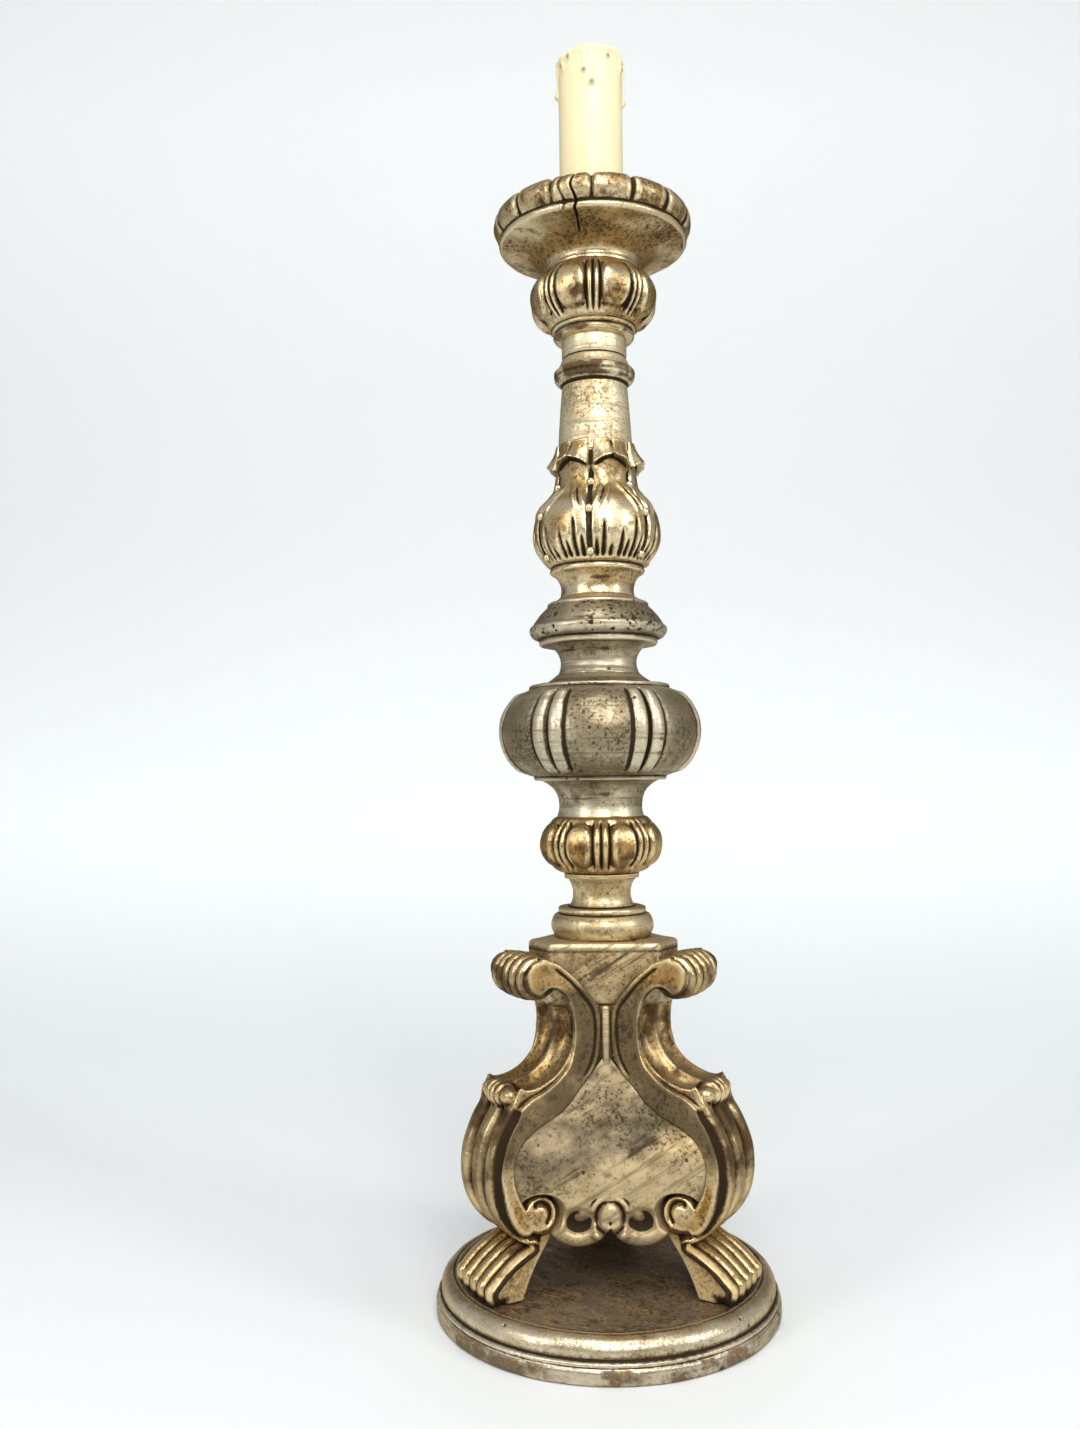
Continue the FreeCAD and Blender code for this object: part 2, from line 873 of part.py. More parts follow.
def leaf_vase(base):
    return stacked(base, [
        (vase_cove_radius, 0),
        (vase_bead_radius, vase_cove_height, -vase_cove_bow),
        (vase_bead_radius, vase_bead_height, vase_bead_bow),
    ] + vase_steps(0))


def leaves(base):
    # Leaves that lie on the vase, broad on the belly, narrow at the waist, with arched tips that fold over
    foot = base + vase_cove_height + vase_bead_height
    places = stacked(foot, vase_steps(leaf_thickness))
    shell = turned([(0, places[-1][1]), (0, foot)] + places)
    belly = foot + vase_belly_height
    waist = belly + vase_hip_height + vase_waist_height
    tip = waist + vase_head_height / 2
    reach = vase_belly_radius + 2 * leaf_thickness
    blade = Part.Face(outline([
        (leaf_waist_half_width, foot),
        (leaf_half_width, belly, leaf_thickness),
        (leaf_waist_half_width, waist, leaf_thickness),
        (leaf_tip_half_width, tip),
        (-leaf_tip_half_width, tip),
        (-leaf_waist_half_width, waist),
        (-leaf_half_width, belly, leaf_thickness),
        (-leaf_waist_half_width, foot, leaf_thickness),
    ])).extrude(axis_across * reach)
    blade.rotate(Vector(), axis_up, -quarter_turn)
    leaf = shell.common(blade)
    arch = bent_bar(leaf_tip_arch, quarter_turn, leaf_tip_half_angle, leaf_tip_roll)
    arch.translate(Vector(leaf_tip_radius, 0, waist + leaf_tip_rise - leaf_tip_arch))
    leaf = leaf.fuse(arch)
    return [at_azimuth(leaf, leaf_offset + full_turn * index / leaf_count) for index in range(leaf_count)]


def column(base):
    return stacked(base, [
        (column_foot_radius, 0),
        (column_head_radius, column_shaft_height, soft_bow),
        (column_ring_foot_radius, 0),
        (column_ring_radius, column_ring_rise, column_ring_bow),
        (column_ring_radius, column_ring_height, soft_bow),
        (column_ring_neck_radius, column_ring_slope, -soft_bow),
        (column_head_radius, 0),
        (column_head_radius, column_neck_height),
    ])


def drip_pan(base):
    # Turned pan with a dish in its head; its rim is cut into lobes
    rim_foot = base + pan_bowl_height + pan_bead_height
    rim_head = rim_foot + pan_rim_height
    floor = rim_head - pan_dish_depth
    body = turned([
        (0, floor),
        (0, base),
        (pan_foot_radius, base),
        (pan_bowl_radius, base + pan_bowl_height, -pan_bowl_bow),
        (pan_bead_radius, base + pan_bowl_height),
        (pan_bead_radius, rim_foot, pan_bead_bow),
        (pan_rim_radius - pan_groove_depth, rim_foot),
        (pan_rim_radius, rim_foot + pan_groove_depth),
        (pan_lip_radius, rim_head, pan_rim_radius + pan_rim_bow, rim_foot + pan_rim_height / 2),
        (pan_dish_radius, floor, pan_rim_bow),
    ])
    body = body.fuse(cylinder(tenon_radius, base - tenon_length, base)).removeSplitter()
    body = body.cut(cylinder(bore_radius, base - tenon_length, floor))
    place = Vector(pan_rim_radius + pan_rim_bow, 0, rim_foot + pan_groove_depth)
    groove = Part.makeCylinder(pan_lobe_groove_radius, pan_rim_height, place)
    cuts = []
    for index in range(pan_lobe_count):
        cuts.append(at_azimuth(groove, pan_lobe_offset + full_turn * index / pan_lobe_count))
    return body.cut(cuts)


def hex_nut(bottom):
    corner = nut_across_flats / (2 * math.cos(math.pi / nut_sides))
    points = []
    for index in range(nut_sides + 1):
        angle = math.radians(full_turn * index / nut_sides)
        points.append(Vector(corner * math.cos(angle), corner * math.sin(angle), bottom))
    nut = Part.Face(Part.makePolygon(points)).extrude(axis_up * nut_thickness)
    return nut.cut(cylinder(tube_radius + thread_clearance, bottom, bottom + nut_thickness))


def candle_sleeve(base):
    # Tube with moulded wax drips that start under its rim
    top = base + sleeve_length
    body = cylinder(sleeve_radius, base, top)
    runs = []
    for azimuth, length in zip(drip_azimuths, drip_lengths):
        place = Vector(sleeve_radius - drip_sink, 0, top - length)
        upper = place + axis_up * (length - drip_radius)
        ends = [Part.makeSphere(drip_radius, place), Part.makeSphere(drip_radius, upper)]
        run = Part.makeCylinder(drip_radius, length - drip_radius, place).fuse(ends)
        runs.append(at_azimuth(run, azimuth))
    body = body.fuse(runs).removeSplitter()
    return body.cut(cylinder(sleeve_radius - sleeve_wall, base, top))


def holder_bracket(base):
    # Steel strip: a round base under the nut, with an arm each side of the holder's neck
    plate = tube(bracket_base_radius, tube_radius + thread_clearance, base, base + bracket_thickness)
    arms = []
    inner = holder_neck_radius + screw_gap
    for turn in (0, half_turn):
        corner = Vector(inner, -bracket_arm_width / 2, base)
        arm = Part.makeBox(bracket_thickness, bracket_arm_width, bracket_arm_height, corner)
        place = Vector(inner, 0, screw_height(base))
        hole = Part.makeCylinder(screw_radius + screw_gap, bracket_thickness, place, axis_out)
        arms.append(at_azimuth(arm.cut(hole), turn))
    return plate.fuse(arms).removeSplitter()


def screw_height(base):
    return base + holder_stand_height + holder_neck_height / 2


def bracket_screws(base):
    screws = []
    head = holder_neck_radius + screw_gap + bracket_thickness
    for turn in (0, half_turn):
        place = Vector(head, 0, screw_height(base))
        shank = Part.makeCylinder(screw_radius, screw_length, place - axis_out * screw_length, axis_out)
        cap = Part.makeCylinder(screw_head_radius, screw_head_height, place, axis_out)
        screws.append(at_azimuth(shank.fuse(cap).removeSplitter(), turn))
    return Part.makeCompound(screws)


def holder_body(base):
    # Moulded cup on a narrower neck, hollow for the screw shell and drilled for the contact
    foot = base + holder_stand_height
    shoulder = foot + holder_neck_height
    head = shoulder + holder_cup_height
    floor = head - shell_length
    body = cylinder(holder_neck_radius, foot, shoulder)
    body = body.fuse(cylinder(holder_radius, shoulder, head)).removeSplitter()
    cuts = [cylinder(shell_bore_radius + shell_wall + shell_gap, floor, head)]
    cuts.append(cylinder(contact_well_radius, floor - contact_well_depth, floor))
    cuts.append(cylinder(contact_stem_radius + contact_fit, foot, floor))
    depth = screw_length - bracket_thickness
    hole_radius = screw_radius + screw_gap
    for turn in (0, half_turn):
        place = Vector(holder_neck_radius - depth, 0, screw_height(base))
        cuts.append(at_azimuth(Part.makeCylinder(hole_radius, depth, place, axis_out), turn))
        pit = Part.makeCylinder(hole_radius, screw_length + screw_gap, Vector(terminal_offset, 0, foot))
        cuts.append(at_azimuth(pit, turn + quarter_turn))
    return body.cut(cuts)


def terminal_screws(base):
    foot = base + holder_stand_height
    screws = []
    for turn in (quarter_turn, -quarter_turn):
        place = Vector(terminal_offset, 0, foot)
        shank = Part.makeCylinder(screw_radius, screw_length, place)
        cap = Part.makeCylinder(screw_head_radius, screw_head_height, place - axis_up * screw_head_height)
        screws.append(at_azimuth(shank.fuse(cap).removeSplitter(), turn))
    return Part.makeCompound(screws)


def screw_shell(base):
    head = base + holder_stand_height + holder_neck_height + holder_cup_height
    return tube(shell_bore_radius + shell_wall, shell_bore_radius, head - shell_length, head)


def centre_contact(base):
    # Sprung plunger: its head stands above the floor of its well by its travel
    head = base + holder_stand_height + holder_neck_height + holder_cup_height
    seat = head - shell_length - contact_well_depth + contact_travel + contact_fit
    button = cylinder(contact_radius, seat, seat + contact_height)
    return button.fuse(cylinder(contact_stem_radius, seat - contact_stem_length, seat)).removeSplitter()


def export(shape, node):
    shape.exportStep("parts/" + node + ".step")
    print(node, "solids", len(shape.Solids), "valid", shape.isValid(), "volume", round(shape.Volume, 1))


def main():
    os.makedirs("parts", exist_ok=True)
    export(plinth(), "plinth")
    one_leg = leg()
    for node, azimuth in leg_azimuths.items():
        export(at_azimuth(one_leg, azimuth), node)
    one_panel = panel()
    for node, azimuth in panel_azimuths.items():
        export(at_azimuth(one_panel, azimuth), node)
    export(core_post(), "core_post")
    export(cap_block(), "cap_block")
    export(foot_dowels(), "foot_dowels")

    places = stem_foot(cap_top)
    export(stem_section(places), "stem_foot")
    places = lower_knop(places[-1][1])
    lobes = strip_azimuths(lobe_count, lobe_offset, lobe_strip_angle)
    belly = places[2][2:]
    export(grooved(stem_section(places), places[1], belly, places[2][:2], lobes), "lower_knop")
    places = ball_knop(places[-1][1])
    reeds = strip_azimuths(ball_panel_count, ball_strip_offset, ball_strip_angle)
    belly = places[5][2:]
    export(grooved(stem_section(places), places[4], belly, places[5][:2], reeds), "ball_knop")
    places = collar_disc(places[-1][1])
    export(stem_section(places), "collar_disc")
    vase_base = places[-1][1]
    places = leaf_vase(vase_base)
    vase = stem_section(places)
    within = cylinder(vase_waist_radius - vase_waist_bow, vase_base, places[-1][1])
    export(vase.fuse([leaf.cut(within) for leaf in leaves(vase_base)]).removeSplitter(), "leaf_vase")
    places = column(places[-1][1])
    export(stem_section(places), "column")
    places = upper_knop(places[-1][1])
    belly = places[3][2:]
    export(grooved(stem_section(places), places[2], belly, places[3][:2], lobes), "upper_knop")
    pan_base = places[-1][1]
    export(drip_pan(pan_base), "drip_pan")
    pan_floor = pan_base + pan_bowl_height + pan_bead_height + pan_rim_height - pan_dish_depth

    tube_bottom = core_bottom - washer_thickness - nut_thickness - tube_overhang
    tube_top = pan_floor + bracket_thickness + nut_thickness + tube_overhang
    export(tube(tube_radius, tube_bore_radius, tube_bottom, tube_top), "tie_tube")
    washer_bottom = core_bottom - washer_thickness
    export(tube(washer_radius, tube_radius + thread_clearance, washer_bottom, core_bottom), "bottom_washer")
    export(hex_nut(washer_bottom - nut_thickness), "bottom_nut")
    export(hex_nut(pan_floor + bracket_thickness), "top_nut")
    export(holder_bracket(pan_floor), "holder_bracket")
    export(bracket_screws(pan_floor), "bracket_screws")
    export(holder_body(pan_floor), "holder_body")
    export(screw_shell(pan_floor), "screw_shell")
    export(centre_contact(pan_floor), "centre_contact")
    export(terminal_screws(pan_floor), "terminal_screws")
    export(candle_sleeve(pan_floor), "candle_sleeve")


main()
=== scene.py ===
import math

import bpy
import numpy as np
from mathutils import Euler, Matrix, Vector


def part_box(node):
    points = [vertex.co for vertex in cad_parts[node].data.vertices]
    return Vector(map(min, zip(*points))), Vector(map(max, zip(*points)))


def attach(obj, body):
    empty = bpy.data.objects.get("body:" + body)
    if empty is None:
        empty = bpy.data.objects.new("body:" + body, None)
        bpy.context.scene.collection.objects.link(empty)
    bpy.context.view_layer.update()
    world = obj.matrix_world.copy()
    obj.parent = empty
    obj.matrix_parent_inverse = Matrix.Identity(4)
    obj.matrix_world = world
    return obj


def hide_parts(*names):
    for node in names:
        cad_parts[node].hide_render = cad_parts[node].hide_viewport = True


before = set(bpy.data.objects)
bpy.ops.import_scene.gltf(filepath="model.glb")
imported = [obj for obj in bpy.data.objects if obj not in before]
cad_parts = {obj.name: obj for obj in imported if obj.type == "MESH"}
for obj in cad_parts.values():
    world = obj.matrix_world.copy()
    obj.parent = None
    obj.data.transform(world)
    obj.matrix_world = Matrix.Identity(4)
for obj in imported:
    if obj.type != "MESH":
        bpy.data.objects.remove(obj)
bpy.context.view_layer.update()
print("frame loaded with", len(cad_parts), "nodes")

mm = 0.001  # every shape below is worked out in millimetres and scaled when it becomes a mesh


# Node helpers

def feed(tree, node, sockets):
    # links or sets a node's inputs
    for label, value in sockets.items():
        if isinstance(value, bpy.types.NodeSocket):
            tree.links.new(value, node.inputs[label])
        else:
            node.inputs[label].default_value = value


def place(tree, kind, sockets=None, **settings):
    node = tree.nodes.new(kind)
    for label, value in settings.items():
        setattr(node, label, value)
    feed(tree, node, sockets or {})
    return node


def calc(tree, operation, *values):
    return place(tree, "ShaderNodeMath", dict(enumerate(values)), operation=operation).outputs[0]


def chained(operation):
    # a helper that works through any number of values, two at a time
    def join(tree, first, *others):
        for other in others:
            first = calc(tree, operation, first, other)
        return first
    return join


plus, minus, times, larger = [chained(kind) for kind in ("ADD", "SUBTRACT", "MULTIPLY", "MAXIMUM")]


def spread(tree, value, low, high, start=0.0, end=1.0):
    # smooth step from start to end while the value goes from low to high
    sockets = {"Value": value, "From Min": low, "From Max": high, "To Min": start, "To Max": end}
    return place(tree, "ShaderNodeMapRange", sockets, interpolation_type="SMOOTHSTEP").outputs[0]


def mixColours(tree, share, first, second):
    return place(tree, "ShaderNodeMix", {0: share, 6: first, 7: second}, data_type="RGBA").outputs[2]


def noise(tree, coords, scale, detail=3.0, rough=0.55):
    sockets = {"Vector": coords, "Scale": scale, "Detail": detail, "Roughness": rough}
    return place(tree, "ShaderNodeTexNoise", sockets).outputs[0]


def mapped(tree, coords, **sockets):
    return place(tree, "ShaderNodeMapping", {"Vector": coords, **sockets}).outputs[0]


def freshMaterial(name):
    material = bpy.data.materials.new(name)
    material.use_nodes = True
    tree = material.node_tree
    return material, tree, tree.nodes["Principled BSDF"]


# Finishes

leafTones = ("Leaf", "Lacquer", "Earth", "Wood", "Tarnish")
wearAndLightLayers = ("hollow", "proud", "bare", "grey", "warm", "matt")  # attributes that dress() stores on a piece


def patinaGroup():
    # silver leaf under a golden lacquer: brown earth and painted shade in the hollows, pale metal and painted
    # highlights on the crowns
    group = bpy.data.node_groups.new("leafPatina", "ShaderNodeTree")
    face = group.interface
    amounts = {"Gold Share": 0.6, "Mottle": 110.0, "Streak": 0.4, "Dirt": 1.0, "Specks": 0.5, "Holes": 0.3,
               "Smudges": 0.5, "Scratches": 0.0, "Dull": 0.0}
    amounts.update({label.capitalize(): 0.0 for label in wearAndLightLayers})
    for label, value in amounts.items():
        face.new_socket(label, in_out="INPUT", socket_type="NodeSocketFloat").default_value = value
    for label in leafTones:
        face.new_socket(label, in_out="INPUT", socket_type="NodeSocketColor")
    for label, value in (("Streak Turn", (0.0, 0.0, 0.0)), ("Streak Size", (22.0, 22.0, 560.0))):
        face.new_socket(label, in_out="INPUT", socket_type="NodeSocketVector").default_value = value
    face.new_socket("Color", in_out="OUTPUT", socket_type="NodeSocketColor")
    for label in ("Rough", "Metal", "Height"):
        face.new_socket(label, in_out="OUTPUT", socket_type="NodeSocketFloat")
    given = place(group, "NodeGroupInput").outputs
    coords = place(group, "ShaderNodeTexCoord").outputs["Object"]

    def swing(value, amount):
        # a noise value as a swing about zero
        return times(group, minus(group, value, 0.5), amount)

    patches = noise(group, coords, given["Mottle"], 4.0, 0.6)
    cloud = noise(group, coords, 42.0, 2.0)
    grit = noise(group, coords, 620.0, 6.0, 0.78)
    blots = noise(group, coords, 170.0, 6.0, 0.68)
    turned = mapped(group, coords, Rotation=given["Streak Turn"])
    lines = noise(group, mapped(group, turned, Scale=given["Streak Size"]), 1.0, 4.0, 0.65)
    dots = place(group, "ShaderNodeTexVoronoi", {"Vector": coords, "Scale": 230.0}).outputs["Distance"]
    rarity = noise(group, coords, 95.0, 1.0)

    # lacquer over the leaf, rubbed off on the crowns, paled there by painted highlights too, and tarnished in
    # places
    golden = plus(group, given["Gold Share"], given["Warm"], swing(patches, 1.2), swing(cloud, 1.4))
    colour = mixColours(group, spread(group, golden, 0.1, 0.95), given["Leaf"], given["Lacquer"])
    crown = plus(group, given["Proud"], swing(patches, 0.5))
    colour = mixColours(group, spread(group, crown, 0.1, 0.7, 0.0, 0.75), colour, given["Leaf"])
    greyed = plus(group, given["Grey"], times(group, swing(patches, 1.1), given["Grey"]))
    colour = mixColours(group, spread(group, greyed, 0.0, 0.95), colour, given["Tarnish"])

    # bare wood where the leaf is worn through, and scratches across it
    rubbed = plus(group, given["Bare"], swing(patches, 1.3), times(group, swing(lines, 2.0), given["Streak"]))
    rubbed = spread(group, rubbed, 0.36, 0.66)
    colour = mixColours(group, times(group, rubbed, 0.9), colour, given["Wood"])
    scratch = 0.0
    for turn in (0.5, 0.95):
        strokes = mapped(group, mapped(group, coords, Rotation=(0.0, 0.0, turn)), Scale=(60.0, 430.0, 430.0))
        marks = place(group, "ShaderNodeTexNoise", {"Vector": strokes, "Scale": 1.0, "Distortion": 1.1})
        scratch = larger(group, scratch, spread(group, marks.outputs[0], 0.5, 0.66))
    scratch = times(group, scratch, spread(group, blots, 0.4, 0.58), times(group, rubbed, given["Scratches"]))
    colour = mixColours(group, scratch, colour, given["Lacquer"])

    # earth and painted shade in the hollows, earth in streaks, worm holes, flecks and stains
    soilAndShade = plus(group, given["Hollow"], swing(grit, 0.9), swing(cloud, 0.5))
    soilAndShade = times(group, spread(group, soilAndShade, 0.06, 0.62), given["Dirt"])
    streaks = times(group, spread(group, lines, 0.48, 0.7), given["Streak"])
    hole = times(group, spread(group, dots, 0.24, 0.12), spread(group, rarity, 0.56, 0.62), given["Holes"])
    fleck = spread(group, plus(group, grit, swing(cloud, 0.35)), 0.48, 0.66)
    fleck = times(group, fleck, given["Specks"], spread(group, given["Proud"], 0.0, 1.0, 1.0, 0.35))
    stainAndShade = plus(group, blots, times(group, given["Hollow"], 0.25))
    stainAndShade = minus(group, stainAndShade, times(group, given["Proud"], 0.2))
    stainAndShade = times(group, spread(group, stainAndShade, 0.5, 0.72), given["Smudges"], 0.85)
    soilAndShade = larger(group, soilAndShade, streaks, hole, fleck, stainAndShade)
    colour = mixColours(group, soilAndShade, colour, given["Earth"])

    # dirt, painted shade, bare wood and tarnish take the shine away
    dull = larger(group, soilAndShade, times(group, rubbed, 0.85), times(group, given["Grey"], 0.35), given["Matt"])
    sheen = plus(group, 0.15, given["Dull"], times(group, patches, 0.24))
    sheen = minus(group, sheen, times(group, given["Proud"], 0.08))
    rough = plus(group, sheen, times(group, dull, 0.4))
    metal = minus(group, 0.94, times(group, dull, 0.8), times(group, given["Dull"], 0.9))
    height = plus(group, times(group, grit, 0.55), times(group, patches, 0.65))
    height = plus(group, height, times(group, lines, given["Streak"]))
    height = minus(group, height, times(group, hole, 1.5))
    place(group, "NodeGroupOutput", {"Color": colour, "Rough": rough, "Metal": metal, "Height": height})
    return group


patina = patinaGroup()


def leafFinish(name, look):
    material, tree, shader = freshMaterial(name)
    worn = place(tree, "ShaderNodeGroup", node_tree=patina)
    for label in wearAndLightLayers:
        layer = place(tree, "ShaderNodeAttribute", attribute_name=label).outputs["Fac"]
        tree.links.new(layer, worn.inputs[label.capitalize()])
    for label, value in look.items():
        worn.inputs[label].default_value = (*value, 1.0) if label in leafTones else value
    sockets = {"Height": worn.outputs["Height"], "Strength": 0.45, "Distance": 0.0005}
    relief = place(tree, "ShaderNodeBump", sockets)
    feed(tree, shader, {
        "Base Color": worn.outputs["Color"], "Roughness": worn.outputs["Rough"],
        "Metallic": worn.outputs["Metal"], "Normal": relief.outputs[0],
        "Specular Tint": (0.6, 0.48, 0.34, 1.0), "Coat Weight": 0.06, "Coat Roughness": 0.25})
    return material


giltLook = {
    "Leaf": (0.74, 0.6, 0.36), "Lacquer": (0.44, 0.26, 0.08), "Earth": (0.03, 0.017, 0.007),
    "Wood": (0.1, 0.054, 0.022), "Tarnish": (0.185, 0.138, 0.076), "Gold Share": 0.55, "Streak": 0.12,
    "Dirt": 1.0, "Specks": 0.8, "Holes": 0.5, "Smudges": 0.8}
silverLook = {
    "Leaf": (0.74, 0.66, 0.5), "Lacquer": (0.33, 0.275, 0.18), "Earth": (0.036, 0.024, 0.012),
    "Wood": (0.105, 0.068, 0.038), "Tarnish": (0.18, 0.148, 0.098), "Gold Share": 0.82, "Streak": 0.6,
    "Dirt": 1.0, "Specks": 0.9, "Holes": 0.9, "Smudges": 0.75, "Dull": 0.1}
giltFinish = leafFinish("giltCarving", giltLook)
paleFinish = leafFinish("giltPale", {**giltLook, "Leaf": (0.79, 0.68, 0.46), "Lacquer": (0.45, 0.3, 0.12)})
columnFinish = leafFinish("giltColumn", {
    **giltLook, "Leaf": (0.76, 0.67, 0.47), "Lacquer": (0.5, 0.36, 0.16), "Gold Share": 0.22, "Streak": 0.5,
    "Specks": 0.6, "Smudges": 0.45, "Dull": 0.12})
footFinish = leafFinish("giltFoot", {
    **giltLook, "Leaf": (0.74, 0.62, 0.4), "Lacquer": (0.38, 0.26, 0.11), "Gold Share": 0.5, "Streak": 0.5,
    "Smudges": 0.9, "Dull": 0.08})
orangeFinish = leafFinish("giltWarm", {
    **giltLook, "Gold Share": 0.68, "Leaf": (0.7, 0.56, 0.33), "Lacquer": (0.38, 0.225, 0.075),
    "Smudges": 0.9})
panFinish = leafFinish("giltPan", {
    **giltLook, "Leaf": (0.74, 0.63, 0.42), "Lacquer": (0.35, 0.23, 0.09), "Smudges": 1.0, "Specks": 0.95,
    "Dull": 0.06})
silverFinish = leafFinish("silveredTurning", silverLook)
panelFinish = leafFinish("silveredPanel", {
    **silverLook, "Leaf": (0.66, 0.54, 0.34), "Lacquer": (0.36, 0.265, 0.135), "Gold Share": 0.55,
    "Streak Turn": (0.0, 0.55, 0.0), "Streak Size": (28.0, 260.0, 420.0), "Dull": 0.18})
plinthFinish = leafFinish("wornPlinth", {
    **silverLook, "Leaf": (0.78, 0.7, 0.54), "Lacquer": (0.44, 0.3, 0.12), "Wood": (0.15, 0.105, 0.066),
    "Gold Share": 0.36, "Streak": 0.3, "Streak Turn": (0.0, 0.0, 0.5), "Streak Size": (45.0, 330.0, 330.0),
    "Smudges": 1.0, "Scratches": 0.75, "Dull": 0.0})


def plainFinish(name, pale, deep, metal, rough, scale, extra=None, mark=None):
    # two tones over fine grain, for what isn't gilded; a mark is an attribute and its tone
    material, tree, shader = freshMaterial(name)
    coords = place(tree, "ShaderNodeTexCoord").outputs["Object"]
    grain = noise(tree, mapped(tree, coords, Scale=scale), 1.0, 4.0)
    spots = noise(tree, coords, 140.0, 3.0)
    share = plus(tree, times(tree, grain, 0.7), times(tree, spots, 0.3))
    tone = mixColours(tree, spread(tree, share, 0.3, 0.7), (*deep, 1.0), (*pale, 1.0))
    if mark:
        where = place(tree, "ShaderNodeAttribute", attribute_name=mark[0]).outputs["Fac"]
        tone = mixColours(tree, where, tone, (*mark[1], 1.0))
    relief = place(tree, "ShaderNodeBump", {"Height": grain, "Strength": 0.15, "Distance": 0.0003})
    feed(tree, shader, {
        "Base Color": tone, "Roughness": spread(tree, grain, 0.2, 0.8, rough + 0.08, rough - 0.08),
        "Normal": relief.outputs[0], "Metallic": metal, **(extra or {})})
    return material


waxFinish = plainFinish("ivoryCandle", (0.78, 0.7, 0.46), (0.75, 0.65, 0.41), 0.0, 0.45, (90, 90, 25),
                        {"Subsurface Weight": 0.12, "Subsurface Scale": 0.003, "Coat Weight": 0.1},
                        ("spot", (0.3, 0.3, 0.2)))
steelFinish = plainFinish("zincSteel", (0.62, 0.63, 0.64), (0.42, 0.43, 0.45), 1.0, 0.38, (400, 400, 60))
brassFinish = plainFinish("brassShell", (0.83, 0.62, 0.28), (0.62, 0.43, 0.16), 1.0, 0.28, (300, 300, 900))
darkFinish = plainFinish("darkMoulding", (0.035, 0.026, 0.02), (0.018, 0.013, 0.01), 0.0, 0.35,
                         (250, 250, 250))
woodFinish = plainFinish("bareWood", (0.42, 0.27, 0.14), (0.24, 0.14, 0.065), 0.0, 0.62, (420, 420, 30))
print("finishes made")


# Mesh helpers

def ease(value, low, high):
    # smooth step from zero at the low value to one at the high value
    share = np.clip((value - low) / (high - low), 0, 1)
    return share * share * (3 - 2 * share)


def fall(value, start, end):
    # one up to the start, zero past the end
    return ease(-value, -end, -start)


def bell(value, width, power=2):
    return np.exp(-(value / width) ** power)


def radii(points):
    return np.hypot(points[:, 0], points[:, 1])


def bearings(points):
    # degrees round the stem's axis
    return np.degrees(np.arctan2(points[:, 1], points[:, 0]))


def added(name, data):
    # a new object in the scene, at the origin
    thing = bpy.data.objects.new(name, data)
    bpy.context.scene.collection.objects.link(thing)
    return thing


def pointNormals(points, faces):
    across = np.cross(points[faces[:, 2]] - points[faces[:, 0]], points[faces[:, 3]] - points[faces[:, 1]])
    normals = np.zeros_like(points)
    for axis in range(3):
        for corner in range(4):
            normals[:, axis] += np.bincount(faces[:, corner], across[:, axis], len(points))
    return normals / np.maximum(np.linalg.norm(normals, axis=1), 1e-12)[:, None]


wearAndShadeLook = {"rounds": (8, 40), "gains": (7.0, 1.1), "slacks": (0.07, 0.5)}  # for fine and for broad relief


def wearAndShadeMasks(points, faces, look):
    # compares each point with its smoothed surroundings: hollows catch dirt, and the broad relief adds
    # painted shade like occlusion; crowns are rubbed bright
    ends = faces.ravel()
    others = np.roll(faces, -1, axis=1).ravel()
    ends, others = np.concatenate([ends, others]), np.concatenate([others, ends])
    share = np.maximum(np.bincount(ends, minlength=len(points)), 1)
    normals = pointNormals(points, faces)
    soft = points.copy()
    total = np.zeros(len(points))
    for rounds, gain, slack in zip(look["rounds"], look["gains"], look["slacks"]):
        for _ in range(rounds):
            soft = np.stack([np.bincount(ends, soft[others, axis], len(points)) for axis in range(3)], 1)
            soft /= share[:, None]
        depth = ((soft - points) * normals).sum(1)
        total += gain * np.sign(depth) * np.maximum(np.abs(depth) - slack, 0)
    return {"hollow": np.clip(total, 0, 1), "proud": np.clip(-total, 0, 1)}


def blended(base, part, values):
    # weighs the values at the corners of each cell by the place in it
    total = np.zeros(len(base))
    for corner in np.ndindex(*(2,) * base.shape[1]):
        weight = np.prod(np.where(np.array(corner) == 1, part, 1 - part), axis=1)
        total += weight * values(base + corner)
    return total


def wobble(points, size, seed, count=16):
    # smooth random value at each point, about -1 to 1
    table = np.random.default_rng(seed).uniform(-1, 1, (count, count, count))
    cell = points / size
    base = np.floor(cell).astype(int)
    part = cell - base
    part = part * part * (3 - 2 * part)
    return blended(base, part, lambda corners: table[tuple((corners % count).T)])


def handWorked(points, faces, amount, size, seed):
    # the small unevenness of hand carving under gesso: its height and its size, in mm
    normals = pointNormals(points, faces)
    return points + normals * (amount * wobble(points, size, seed))[:, None]


def dress(name, points, faces, finish, nodes, body="stand", masks=None):
    # faces have four corners, and a doubled last corner marks a triangle
    mesh = bpy.data.meshes.new(name)
    polygons = [face[:3] if face[2] == face[3] else face for face in faces.tolist()]
    mesh.from_pydata((points * mm).tolist(), [], polygons)
    mesh.shade_smooth()
    layers = wearAndShadeMasks(points, faces, wearAndShadeLook)
    masks = dict(masks or {})
    layers["hollow"] = layers["hollow"] * (1 - masks.pop("clean", 0))  # clean: no dirt or painted shade from the shape alone
    for label, values in masks.items():
        layers[label] = np.clip(np.maximum(layers.get(label, 0), values), 0, 1)
    for label, values in layers.items():
        layer = mesh.attributes.new(label, "FLOAT", "POINT")
        layer.data.foreach_set("value", values.astype(np.float32))
    mesh.materials.append(finish)
    piece = added(name, mesh)
    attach(piece, body)
    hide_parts(*nodes)
    print(name, len(polygons), "faces")


def stained(points, spots):
    # soft stains on turned work: azimuth, height, half width, half height, strength
    angles = bearings(points)
    radius = radii(points)
    ragged = 0.3 * wobble(points, 3.0, 90)
    total = np.zeros(len(points))
    for azimuth, height, wide, tall, strength in spots:
        aside = np.radians((angles - azimuth + 180) % 360 - 180) * radius
        reach = np.hypot(aside / wide, (points[:, 2] - height) / tall) + ragged
        total = np.maximum(total, 0.7 * strength * fall(reach, 0.1, 1.6))
    return total


